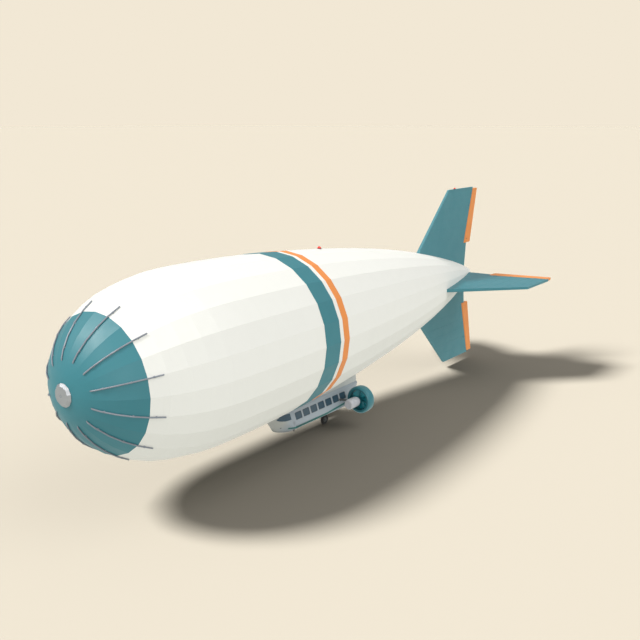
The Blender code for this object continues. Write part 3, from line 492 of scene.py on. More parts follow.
@dataclass(frozen=True)
class WovenCloth(Finish):
    """Woven upholstery with crossed threads and a soft sheen."""

    threads: float = 1400.0

    def raised(self, board: NodeBoard, place: Socket, height: Socket,
               effects: Effects) -> Socket:
        """Threads over the cushion's own creases."""
        weave = effects.weave.put(board, {"Vector": place, "Threads": self.threads})
        return board.math("ADD", height, weave.outputs["Height"])

    def set_shader(self, shader: Node) -> None:
        """Cloth has a sheen and no coat."""
        super().set_shader(shader)
        shader.inputs["Sheen Weight"].default_value = 0.3


@dataclass(frozen=True)
class TintedGlass(Finish):
    """Dark window glass."""

    clear: float = 0.2

    def set_shader(self, shader: Node) -> None:
        """Part of the light passes the tint."""
        super().set_shader(shader)
        shader.inputs["Transmission Weight"].default_value = self.clear
        shader.inputs["IOR"].default_value = 1.45


@dataclass(frozen=True)
class LampLens(Finish):
    """Moulded lens with ribs and a faint glow."""

    ribs: float = 260.0
    glow: float = 0.35

    def raised(self, board: NodeBoard, place: Socket, height: Socket,
               effects: Effects) -> Socket:
        """Level ribs round the lens."""
        split = board.add("ShaderNodeSeparateXYZ", {0: place})
        return board.math("SINE", board.math("MULTIPLY", split.outputs[2], self.ribs))

    def set_shader(self, shader: Node) -> None:
        """The lens glows faintly in its own colour."""
        super().set_shader(shader)
        shader.inputs["Emission Color"].default_value = (*self.color, 1.0)
        shader.inputs["Emission Strength"].default_value = self.glow


WHITE_CLOTH = GoreFabric("white_cloth", (0.79, 0.79, 0.755), (0.775, 0.775, 0.74), 0.55, "white_fabric",
                         grain=90.0, relief=0.002, weather=0.015)
TEAL_CLOTH = GoreFabric("teal_cloth", (0.032, 0.192, 0.232), (0.030, 0.180, 0.218), 0.46, "teal_fabric",
                        grain=90.0, relief=0.001, weather=0.008, seam_shade=(0.028, 0.165, 0.20))
ORANGE_CLOTH = GoreFabric("orange_cloth", (0.78, 0.26, 0.055), (0.74, 0.245, 0.05), 0.5, "orange_fabric",
                          grain=90.0, relief=0.001, weather=0.008, seam_shade=(0.66, 0.21, 0.045))
TEAL_SKIN = Finish("teal_skin", (0.045, 0.208, 0.250), (0.040, 0.195, 0.235), 0.45, "teal_fabric",
                   grain=70.0, relief=0.001, weather=0.015)
WHITE_TAPE = Finish("white_tape", (0.78, 0.78, 0.745), (0.74, 0.74, 0.71), 0.5, "white_fabric", weather=0.04)
ORANGE_SKIN = Finish("orange_skin", (0.76, 0.255, 0.050), (0.72, 0.24, 0.046), 0.45, "orange_fabric",
                     grain=70.0, relief=0.001, weather=0.015)
CAP_METAL = Finish("cap_metal", (0.45, 0.465, 0.485), (0.38, 0.395, 0.415), 0.34, "cap_metal", metallic=0.85,
                   grain=180.0, relief=0.0005, weather=0.02)
BATTEN_METAL = Finish("batten_metal", (0.235, 0.26, 0.30), (0.20, 0.22, 0.255), 0.44, "batten_metal",
                      metallic=0.15, grain=200.0, relief=0.0006, weather=0.02)
CABIN_PAINT = StripedPaint("cabin_paint", (0.33, 0.385, 0.435), (0.31, 0.36, 0.41), 0.36, "cabin_white",
                           grain=120.0, relief=0.0006, weather=0.05, coat=0.2)
POD_PAINT = Finish("pod_paint", (0.44, 0.45, 0.49), (0.41, 0.42, 0.46), 0.34, "nacelle_white",
                   grain=120.0, relief=0.0006, weather=0.06, coat=0.3)
DUCT_PAINT = Finish("duct_paint", (0.020, 0.165, 0.205), (0.018, 0.155, 0.19), 0.36, "duct_teal",
                    grain=120.0, relief=0.0006, weather=0.04, coat=0.3)
# Brighter copy of the duct's teal for the fan, spinner, tail cone and guide vanes: painted light that evens
# out the shade deep in the duct.
FAN_TEAL_PAINTED_LIGHT = Finish("fan_composite", (0.010, 0.27, 0.33), (0.009, 0.24, 0.29), 0.42, "fan_dark",
                       grain=200.0, relief=0.0005, weather=0.04)
# Darker copy of the duct's teal for the front face, bore, hub and vanes: painted shade of the duct's inside.
DUCT_TEAL_PAINTED_SHADE = Finish("duct_liner", (0.008, 0.115, 0.145), (0.007, 0.10, 0.13), 0.5, "duct_teal",
                    grain=200.0, relief=0.0005, weather=0.04)
FAIRING_CLOTH = Finish("fairing_cloth", (0.52, 0.55, 0.545), (0.50, 0.525, 0.52), 0.5, "fairing_grey",
                       grain=90.0, relief=0.004, weather=0.05)
WINDOW_GLASS = TintedGlass("window_glass", (0.056, 0.106, 0.150), (0.050, 0.096, 0.138), 0.07, "slate_glass",
                           grain=6.0, relief=0.0002, weather=0.01)
SEAT_CLOTH = WovenCloth("seat_cloth", (0.15, 0.17, 0.21), (0.11, 0.13, 0.16), 0.8, "seat_fabric",
                        grain=120.0, relief=0.0015, weather=0.02)
PANEL_PLASTIC = Finish("panel_plastic", (0.06, 0.06, 0.065), (0.045, 0.045, 0.05), 0.6, "panel_dark",
                       grain=400.0, relief=0.0006, weather=0.03)
DIAL_FACE = Finish("dial_face", (0.55, 0.56, 0.55), (0.48, 0.49, 0.48), 0.3, "panel_dark", weather=0.01)
DARK_STEEL = Finish("dark_steel", (0.055, 0.058, 0.062), (0.04, 0.043, 0.046), 0.42, "dark_steel",
                    metallic=0.4, grain=180.0, relief=0.0006, weather=0.08)
STRUT_PAINT = Finish("strut_paint", (0.085, 0.095, 0.10), (0.065, 0.073, 0.078), 0.45, "dark_steel",
                     grain=150.0, relief=0.0006, weather=0.05)
WHEEL_ALLOY = Finish("wheel_alloy", (0.12, 0.125, 0.13), (0.095, 0.10, 0.105), 0.42, "hub_silver",
                     metallic=0.6, grain=220.0, relief=0.0004, weather=0.05)
BRIGHT_STEEL = Finish("bright_steel", (0.62, 0.63, 0.64), (0.54, 0.55, 0.56), 0.25, "hub_silver",
                      metallic=0.9, grain=220.0, relief=0.0004, weather=0.03)
TYRE_RUBBER = Finish("tyre_rubber", (0.010, 0.010, 0.011), (0.018, 0.017, 0.017), 0.82, "tyre_black",
                     grain=300.0, relief=0.0012, weather=0.04)
HUB_PAINT = Finish("hub_paint", (0.55, 0.55, 0.56), (0.50, 0.50, 0.51), 0.4, "hub_silver",
                   grain=200.0, relief=0.0004, weather=0.03)
GASKET_RUBBER = Finish("gasket_rubber", (0.10, 0.115, 0.13), (0.08, 0.092, 0.105), 0.6, "cabin_white",
                       grain=200.0, relief=0.0006, weather=0.04)
RED_LENS = LampLens("red_lens", (0.70, 0.035, 0.02), (0.60, 0.025, 0.015), 0.18, "lamp_red",
                    relief=0.0015, weather=0.01, coat=0.5)
CLEAR_LENS = LampLens("clear_lens", (0.30, 0.32, 0.34), (0.25, 0.27, 0.29), 0.12, "hub_silver",
                      relief=0.0006, weather=0.01, glow=0.0)


class Paintbox:
    """Makes each finish's material once."""

    def __init__(self) -> None:
        """Build the shared groups."""
        self.effects = Effects.build()
        self.made: dict[str, bpy.types.Material] = {}

    def take(self, finish: Finish) -> bpy.types.Material:
        """Material of a finish."""
        if finish.name not in self.made:
            self.made[finish.name] = finish.make(self.effects)
        return self.made[finish.name]


class Shape:
    """A growing mesh, made of parts that are added one after another."""

    def __init__(self) -> None:
        """Start empty."""
        self.mesh = bmesh.new()

    def rings(self, rows: Sequence[Sequence[Vector]], closed: bool = False, caps: bool = True) -> Shape:
        """Skin equal rings of points.

        Args:
            rows: Rings of points, all with the same count.
            closed: Whether the last ring joins the first.
            caps: Whether open ends are filled.

        Returns:
            This shape.
        """
        made = [[self.mesh.verts.new(point) for point in row] for row in rows]
        count = len(made[0])
        pairs = list(zip(made, made[1:]))
        if closed:
            pairs.append((made[-1], made[0]))
        for row, after in pairs:
            for i in range(count):
                j = (i + 1) % count
                self.mesh.faces.new((row[i], row[j], after[j], after[i]))
        if caps and not closed:
            self.mesh.faces.new(list(reversed(made[0])))
            self.mesh.faces.new(made[-1])
        return self

    def turned(self, profile: Profile, sides: int, centre: Vector, axis: Vector,
               closed: bool = True) -> Shape:
        """Turn a profile of (distance along the axis, radius) about an axis.

        Args:
            profile: Points of the profile. A radius of 0 makes a pole.
            sides: Number of sides round the axis.
            centre: Point of the axis from which distances are measured.
            axis: Direction of the axis.
            closed: Whether the profile's last point joins its first.

        Returns:
            This shape.
        """
        along = axis.normalized()
        first = UP if abs(along.z) < 0.9 else PORT
        side = along.cross(first).normalized()
        other = along.cross(side)
        rows = []
        for distance, radius in profile:
            foot = centre + along * distance
            if radius == 0.0:
                rows.append([self.mesh.verts.new(foot)])
                continue
            row = []
            for i in range(sides):
                turn = math.tau * i / sides
                spoke = side * math.cos(turn) + other * math.sin(turn)
                row.append(self.mesh.verts.new(foot + spoke * radius))
            rows.append(row)
        pairs = list(zip(rows, rows[1:]))
        if closed:
            pairs.append((rows[-1], rows[0]))
        for row, after in pairs:
            if len(row) == 1 and len(after) == 1:
                continue
            for i in range(sides):
                j = (i + 1) % sides
                if len(row) == 1:
                    self.mesh.faces.new((row[0], after[j], after[i]))
                elif len(after) == 1:
                    self.mesh.faces.new((row[i], row[j], after[0]))
                else:
                    self.mesh.faces.new((row[i], row[j], after[j], after[i]))
        return self

    def ribbon(self, path: Sequence[tuple[Vector, Vector]], width: float, height: float,
               closed: bool = False) -> Shape:
        """Lay a flat strip with bevelled edges along a path on a surface.

        Args:
            path: Points with the surface's normal at each.
            width: Width of the strip on the surface.
            height: Height of the strip over the surface.
            closed: Whether the path is a loop.

        Returns:
            This shape.
        """
        rows = []
        count = len(path)
        for i, (point, normal) in enumerate(path):
            before = path[(i - 1) % count][0] if closed or i else point
            after = path[(i + 1) % count][0] if closed or i < count - 1 else point
            along = (after - before).normalized()
            side = normal.cross(along).normalized()
            foot = point - normal * SKIN_GAP
            top = point + normal * height
            rows.append([foot - side * width * 0.5, top - side * width * 0.38,
                         top + side * width * 0.38, foot + side * width * 0.5])
        return self.rings(rows, closed)

    def tube(self, points: Sequence[Vector], radius: float, sides: int, closed: bool = False) -> Shape:
        """Sweep a round bar along points that lie roughly in one plane.

        Args:
            points: Points of the bar's middle line.
            radius: Radius of the bar.
            sides: Number of sides round it.
            closed: Whether the bar is a loop.

        Returns:
            This shape.
        """
        rows = []
        count = len(points)
        spread = (points[-1] - points[0]).cross(points[count // 3] - points[0])
        normal = spread.normalized() if spread.length > 1e-9 else UP
        for i, point in enumerate(points):
            before = points[(i - 1) % count] if closed or i else point
            after = points[(i + 1) % count] if closed or i < count - 1 else point
            along = (after - before).normalized()
            across = normal if abs(along.dot(normal)) < 0.98 else PORT
            side = along.cross(across).normalized()
            up = side.cross(along)
            turns = [math.tau * k / sides for k in range(sides)]
            rows.append([point + (side * math.cos(turn) + up * math.sin(turn)) * radius for turn in turns])
        return self.rings(rows, closed)

    def block(self, low: Vector, high: Vector, edge: float = 0.0, turn: Matrix | None = None) -> Shape:
        """Add a box between two corners, with its edges rounded off.

        Args:
            low: Lowest corner.
            high: Highest corner.
            edge: Width of the rounded edges.
            turn: Matrix that places the box after it is made.

        Returns:
            This shape.
        """
        part = bmesh.new()
        bmesh.ops.create_cube(part, size=1.0)
        size = Matrix.Diagonal((high - low).to_4d())
        size[3][3] = 1.0
        bmesh.ops.transform(part, matrix=Matrix.Translation((low + high) / 2) @ size, verts=part.verts)
        if edge:
            bmesh.ops.bevel(part, geom=list(part.edges), offset=edge, segments=2, affect="EDGES", profile=0.6)
        if turn is not None:
            bmesh.ops.transform(part, matrix=turn, verts=part.verts)
        return self.take(part)

    def take(self, part: bmesh.types.BMesh) -> Shape:
        """Add another bmesh to this shape and free it.

        Args:
            part: The bmesh.

        Returns:
            This shape.
        """
        mesh = bpy.data.meshes.new("part")
        part.to_mesh(mesh)
        part.free()
        self.mesh.from_mesh(mesh)
        bpy.data.meshes.remove(mesh)
        return self

    def moved(self, matrix: Matrix) -> Shape:
        """Move the whole shape."""
        bmesh.ops.transform(self.mesh, matrix=matrix, verts=self.mesh.verts)
        return self

    def finish(self, name: str, material: bpy.types.Material,
               smooth: float = SMOOTH_ANGLE) -> Object:
        """Turn the shape into an object.

        Args:
            name: Name of the object.
            material: Its material.
            smooth: Edges sharper than this many degrees stay sharp.

        Returns:
            The new object.
        """
        bmesh.ops.recalc_face_normals(self.mesh, faces=self.mesh.faces)
        mesh = bpy.data.meshes.new(name)
        self.mesh.to_mesh(mesh)
        self.mesh.free()
        mesh.materials.append(material)
        mesh.shade_smooth()
        mesh.set_sharp_from_angle(angle=math.radians(smooth))
        made = bpy.data.objects.new(name, mesh)
        bpy.context.collection.objects.link(made)
        return made


class GrowTree:
    """A Geometry Nodes tree, and the way it is applied to a mesh."""

    def __init__(self, name: str, inputs: dict[str, str]) -> None:
        """Make an empty tree.

        Args:
            name: Name of the tree.
            inputs: Names of its inputs after the geometry, each with a socket kind.
        """
        self.tree = bpy.data.node_groups.new(name, "GeometryNodeTree")
        face = self.tree.interface
        face.new_socket("Geometry", in_out="INPUT", socket_type="NodeSocketGeometry")
        self.keys = {}
        for label, kind in inputs.items():
            self.keys[label] = face.new_socket(label, in_out="INPUT", socket_type=kind).identifier
        face.new_socket("Geometry", in_out="OUTPUT", socket_type="NodeSocketGeometry")
        self.board = NodeBoard(self.tree)
        self.given = self.board.add("NodeGroupInput")

    def close(self, geometry: Socket) -> None:
        """Realize the instances, set their material and end the tree."""
        real = self.board.add("GeometryNodeRealizeInstances", {0: geometry})
        dressed = self.board.add("GeometryNodeSetMaterial", {"Geometry": real.outputs[0],
                                                             "Material": self.given.outputs["Finish"]})
        self.board.add("NodeGroupOutput", {0: dressed.outputs[0]})

    def grow(self, seed: Object, values: dict[str, Any]) -> Object:
        """Apply the tree to an object and keep the result as a plain mesh.

        Args:
            seed: Object whose mesh goes into the tree. It is removed.
            values: Values of the tree's inputs, by name.

        Returns:
            A new object of the same name.
        """
        name = seed.name
        step = seed.modifiers.new("grow", "NODES")
        step.node_group = self.tree
        for label, value in values.items():
            step[self.keys[label]] = value
        bpy.context.view_layer.update()
        graph = bpy.context.evaluated_depsgraph_get()
        mesh = bpy.data.meshes.new_from_object(seed.evaluated_get(graph))
        seed.modifiers.clear()
        bpy.data.objects.remove(seed)
        mesh.name = name
        made = bpy.data.objects.new(name, mesh)
        bpy.context.collection.objects.link(made)
        return made


class CopyTree(GrowTree):
    """Repeats a mesh about a pivot, along a line, or both."""

    def __init__(self) -> None:
        """Build the tree."""
        vector = "NodeSocketVector"
        super().__init__("row_of_copies", {"Count": "NodeSocketInt", "Pivot": vector, "Step": vector,
                                           "Turn": vector, "Finish": "NodeSocketMaterial"})
        given = self.given.outputs
        spots = {"Count": given["Count"], "Start Location": given["Pivot"], "Offset": given["Step"]}
        line = self.board.add("GeometryNodeMeshLine", spots)
        back = self.board.add("ShaderNodeVectorMath", {0: given["Pivot"], "Scale": -1.0}, operation="SCALE")
        at_zero = self.board.add("GeometryNodeTransform", {"Geometry": given["Geometry"],
                                                           "Translation": back.outputs[0]})
        index = self.board.add("GeometryNodeInputIndex")
        angles = self.board.add("ShaderNodeVectorMath", {0: given["Turn"], "Scale": index.outputs[0]},
                                operation="SCALE")
        turned = self.board.add("FunctionNodeEulerToRotation", {0: angles.outputs[0]})
        copies = self.board.add("GeometryNodeInstanceOnPoints", {"Points": line.outputs[0],
                                                                 "Instance": at_zero.outputs[0],
                                                                 "Rotation": turned.outputs[0]})
        self.close(copies.outputs[0])


class StudTree(GrowTree):
    """Sets round-headed studs at even steps along the edges of a wire mesh."""

    def __init__(self) -> None:
        """Build the tree."""
        number = "NodeSocketFloat"
        super().__init__("row_of_studs", {"Pitch": number, "Radius": number, "Finish": "NodeSocketMaterial"})
        given = self.given.outputs
        path = self.board.add("GeometryNodeMeshToCurve", {0: given["Geometry"]})
        cuts = {"Curve": path.outputs[0], "Length": given["Pitch"]}
        steps = self.board.add("GeometryNodeResampleCurve", cuts, mode="LENGTH")
        ball = {"Segments": 8, "Rings": 4, "Radius": given["Radius"]}
        head = self.board.add("GeometryNodeMeshUVSphere", ball)
        studs = self.board.add("GeometryNodeInstanceOnPoints", {"Points": steps.outputs[0],
                                                                "Instance": head.outputs[0]})
        self.close(studs.outputs[0])


@dataclass
class Workshop:
    """What every sub-assembly needs: the frame, the finishes and the repeating trees."""

    frame: dict[str, Any]
    paints: Paintbox
    copies: CopyTree
    studs: StudTree
    count: int = 0

    def node(self, name: str) -> Object:
        """Object of a frame node."""
        return self.frame["nodes"][name]

    def dress(self, finish: Finish, *names: str) -> None:
        """Give frame nodes a finish through their material slots.

        Args:
            finish: The finish.
            names: The nodes.
        """
        material = self.paints.take(finish)
        for name in names:
            for slot in self.node(name).material_slots:
                slot.material = material
            LOG.info("dressed %s in %s", name, finish.name)

    def fit(self, piece: Object, body: str, finish: Finish, *replaced: str) -> Object:
        """Put a finished piece on its body.

        Args:
            piece: The piece's object.
            body: Name of the body that it rides on.
            finish: Not used.
            replaced: Frame nodes that it stands for.

        Returns:
            The piece.
        """
        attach(piece, body)
        if replaced:
            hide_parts(*replaced)
        self.count += 1
        LOG.info("piece %s on %s, %d faces", piece.name, body, len(piece.data.polygons))
        return piece

    def place(self, shape: Shape, name: str, finish: Finish, body: str, *replaced: str,
              smooth: float = SMOOTH_ANGLE) -> Object:
        """Finish a shape and put it on its body.

        Args:
            shape: The piece's shape.
            name: The piece's name.
            finish: The piece's finish.
            body: Name of the body that it rides on.
            replaced: Frame nodes that it stands for.
            smooth: Edges sharper than this many degrees stay sharp.

        Returns:
            The piece.
        """
        return self.fit(shape.finish(name, self.paints.take(finish), smooth), body, finish, *replaced)

    def place_copies(self, shape: Shape, name: str, finish: Finish, body: str, *replaced: str, count: int,
                     pivot: Vector = Vector(), step: Vector = Vector(), turn: Vector = Vector(),
                     smooth: float = SMOOTH_ANGLE) -> None:
        """Repeat a shape with the copying tree and put the copies on their body as one piece.

        Args:
            shape: The first copy.
            name: The piece's name.
            finish: The piece's finish.
            body: Name of the body that it rides on.
            replaced: Frame nodes that it stands for.
            count: Number of copies.
            pivot: Point that the copies turn about.
            step: Shift from copy to copy.
            turn: Turn from copy to copy, in radians about X, Y and Z.
            smooth: Edges sharper than this many degrees stay sharp.
        """
        paint = self.paints.take(finish)
        seed = shape.finish(name, paint, smooth)
        values = {"Count": count, "Pivot": pivot, "Step": step, "Turn": turn, "Finish": paint}
        self.fit(self.copies.grow(seed, values), body, finish, *replaced)

    def place_round(self, shape: Shape, name: str, finish: Finish, body: str, *replaced: str, count: int,
                    pivot: Vector = Vector(), smooth: float = SMOOTH_ANGLE) -> None:
        """Place copies of a shape evenly about the fore and aft line through a pivot."""
        self.place_copies(shape, name, finish, body, *replaced, count=count, pivot=pivot,
                          turn=Vector((0.0, math.tau / count, 0.0)), smooth=smooth)

    def merged(self, name: str) -> Shape:
        """Shape of a frame node's mesh with its doubles merged."""
        part = bmesh.new()
        part.from_mesh(self.node(name).data)
        bmesh.ops.remove_doubles(part, verts=part.verts, dist=MERGE_DISTANCE)
        return Shape().take(part)

    def soften(self, body: str, finish: Finish, *names: str, angle: float = 30.0) -> None:
        """Stand in for frame nodes with merged copies that are shaded smoothly.

        Args:
            body: Name of the body that the nodes ride on.
            finish: Finish of the copies.
            names: The nodes.
            angle: Edges sharper than this many degrees stay sharp.
        """
        for name in names:
            self.place(self.merged(name), f"{name}_skin", finish, body, name, smooth=angle)

    def stud_row(self, name: str, lines: Sequence[Sequence[Vector]], pitch: float, radius: float,
                 finish: Finish) -> Object:
        """Set studs along one or more lines of points.

        Args:
            name: The piece's name.
            lines: The lines.
            pitch: Distance from stud to stud.
            radius: Radius of a stud.
            finish: The studs' finish.

        Returns:
            The piece.
        """
        points = []
        edges = []
        for line in lines:
            first = len(points)
            points += line
            edges += [(first + i, first + i + 1) for i in range(len(line) - 1)]
        mesh = bpy.data.meshes.new(name)
        mesh.from_pydata(points, edges, [])
        seed = bpy.data.objects.new(name, mesh)
        bpy.context.collection.objects.link(seed)
        made = self.studs.grow(seed, {"Pitch": pitch, "Radius": radius, "Finish": self.paints.take(finish)})
        made.data.shade_smooth()
        return made


class HullLines:
    """Corner line of the envelope, read from the frame's skin."""

    def __init__(self, shop: Workshop) -> None:
        """Read the outer corner of the port seam from both skins.

        Args:
            shop: The workshop.
        """
        found: dict[float, float] = {}
        for name in ("nose_shell", "envelope"):
            for vertex in shop.node(name).data.vertices:
                if abs(vertex.co.z) < 1e-3 and vertex.co.x > 0.0:
                    key = round(vertex.co.y, 3)
                    found[key] = max(found.get(key, 0.0), vertex.co.x)
        self.points = sorted(found.items())

    def radius(self, y: float) -> float:
        """Corner radius of the envelope at a Y coordinate."""
        for (near, first), (far, second) in zip(self.points, self.points[1:]):
            if y <= far:
                return first + (second - first) * max(0.0, (y - near) / (far - near))
        return 0.0


@dataclass
class Envelope:
    """The gas envelope: its smooth cloth, belts and relief valves."""

    valve_aft: tuple[float, ...] = (6.4, 17.2)
    valve_turn: tuple[float, ...] = (187.5, 232.5)
    valve_radius: float = 0.14
    ring_angle: float = 5.5
    gore_angle: float = 6.0

    def valve(self, lines: HullLines, aft: float, degrees: float) -> Shape:
        """Round relief valve in the middle of a gore.

        Args:
            lines: The envelope's line.
            aft: Distance of the valve aft of the nose.
            degrees: Turn from the ship's top towards port.

        Returns:
            The valve's ring and hub.
        """
        y = station(aft)
        slope = (lines.radius(y + 0.2) - lines.radius(y - 0.2)) / 0.4
        out = Vector((0.0, -slope, 1.0)).normalized()
        foot = Vector((0.0, y, lines.radius(y) * math.cos(math.pi / GORES) - 0.002))
        radius = self.valve_radius
        ring = ((0.0, radius), (0.008, radius), (0.012, radius - 0.006), (0.012, radius - 0.024),
                (0.0, radius - 0.030))
        hub = ((0.0, 0.0), (0.0, radius - 0.036), (0.005, radius - 0.038), (0.009, 0.02), (0.014, 0.018),
               (0.014, 0.0))
        shape = Shape().turned(ring, 40, foot, out).turned(hub, 40, foot, out, closed=False)
        return shape.moved(Matrix.Rotation(math.radians(degrees), 4, "Y"))

    def build(self, shop: Workshop, lines: HullLines) -> None:
        """Dress the cloth and set the valves.

        Args:
            shop: The workshop.
            lines: The envelope's line.
        """
        shop.soften("root", WHITE_CLOTH, "envelope", angle=self.ring_angle)
        self.nose(shop)
        shop.soften("root", TEAL_CLOTH, "belt_teal", angle=self.ring_angle)
        shop.soften("root", ORANGE_CLOTH, "belt_orange", angle=self.ring_angle)
        for i, aft in enumerate(self.valve_aft):
            for k, degrees in enumerate(self.valve_turn):
                shop.place(self.valve(lines, aft, degrees), f"valve_{i + 1}_{k + 1}", WHITE_TAPE, "root")

    def nose(self, shop: Workshop) -> None:
        """Nose shell with sharp edges between its gores and none between its rings.

        Args:
            shop: The workshop.
        """
        piece = shop.merged("nose_shell").finish("nose_shell_skin", shop.paints.take(TEAL_CLOTH), 40.0)
        mesh = piece.data
        turns: dict[tuple[int, int], list[Vector]] = {}
        for face in mesh.polygons:
            for key in face.edge_keys:
                turns.setdefault(key, []).append(face.normal)
        least = math.radians(self.gore_angle)
        for edge in mesh.edges:
            normals = turns[edge.key]
            first, last = (mesh.vertices[i].co for i in edge.vertices)
            middle = (last + first) / 2
            across = abs((last - first).normalized().dot(middle.cross(AFT).normalized()))
            if len(normals) == 2 and across < 0.5 and normals[0].angle(normals[1]) > least:
                edge.use_edge_sharp = True
        shop.fit(piece, "root", TEAL_CLOTH, "nose_shell")


@dataclass
class NoseFittings:
    """Mooring cap and the battens that stiffen the nose."""

    battens: int = 12
    batten_turn: float = math.radians(15.0)
    shoe_length: float = 0.05
    clamp_aft: tuple[float, ...] = (0.50, 1.10, 1.70)
    cap_sides: int = 12
    cap_rings: Profiles = ((0.0, 0.418), (0.010, 0.418), (0.092, 0.325), (0.110, 0.140))
    cap_turn: float = math.radians(17.0)
    bolts: int = 12
    bolt_out: float = 0.405

    def saddle(self, lines: HullLines, aft: float, length: float, width: float, height: float) -> Shape:
        """Strap over the batten on the port seam, bent over the rod.

        Args:
            lines: The envelope's line.
            aft: Distance of the strap aft of the nose.
            length: Its length along the batten.
            width: Half its width.
            height: Its height over the cloth.

        Returns:
            The strap.
        """
        y = station(aft)
        slope = (lines.radius(y + 0.05) - lines.radius(y - 0.05)) / 0.1
        along = Vector((slope, 1.0, 0.0)).normalized()
        out = Vector((along.y, -along.x, 0.0))
        foot = Vector((lines.radius(y), y, 0.0))
        section = ((-1.0, 0.0), (-0.72, 0.25), (-0.62, 0.85), (-0.35, 1.0), (0.35, 1.0),
                   (0.62, 0.85), (0.72, 0.25), (1.0, 0.0))
        rows = []
        for end in (-0.5, 0.5):
            middle = foot + along * end * length
            outer = [middle + UP * share * width + out * rise * height for share, rise in section]
            rows.append(outer + [middle + UP * width - out * 0.006, middle - UP * width - out * 0.006])
        return Shape().rings(rows)

    def build(self, shop: Workshop, lines: HullLines) -> None:
        """Dress the metal and add the straps and bolts.

        Args:
            shop: The workshop.
            lines: The envelope's line.
        """
        self.cap(shop)
        shop.dress(BATTEN_METAL, *[f"batten_{i + 1:02d}" for i in range(self.battens)])
        straps = Shape()
        for aft in self.clamp_aft:
            straps.take(self.saddle(lines, aft, self.shoe_length, 0.036, 0.058).mesh)
        straps.moved(Matrix.Rotation(self.batten_turn, 4, "Y"))
        shop.place_round(straps, "batten_straps", BATTEN_METAL, "root", count=self.battens)

    def cap(self, shop: Workshop) -> None:
        """Faceted mooring cap with its spindle socket and a ring of bolts.

        Args:
            shop: The workshop.
        """
        low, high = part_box("mooring_cap")
        foot = Vector((0.0, low.y + self.cap_rings[-1][0] + 0.001, 0.0))
        rear = high.y - foot.y
        profile = [(-rear, 0.0), (-rear, self.cap_rings[0][1]), *self.cap_rings, (0.110, 0.0)]
        dome = Shape().turned(profile, self.cap_sides, foot, -AFT, closed=False)
        dome.moved(Matrix.Rotation(self.cap_turn, 4, "Y"))
        shop.place(dome, "cap_dome", CAP_METAL, "root", "mooring_cap", smooth=3.0)
        rim = ((0.104, 0.050), (0.111, 0.050), (0.111, 0.034), (0.1105, 0.030), (0.104, 0.030))
        shop.place(Shape().turned(rim, 24, foot, -AFT), "cap_socket", BATTEN_METAL, "root")
        head = ((0.0, 0.0), (0.0, 0.008), (0.006, 0.008), (0.008, 0.005), (0.008, 0.0))
        spot = foot + Vector((0.0, -0.008, self.bolt_out))
        bolt = Shape().turned(head, 6, spot, UP * 0.6 - AFT, closed=False)
        shop.place_round(bolt, "cap_bolts", BATTEN_METAL, "root", count=self.bolts)


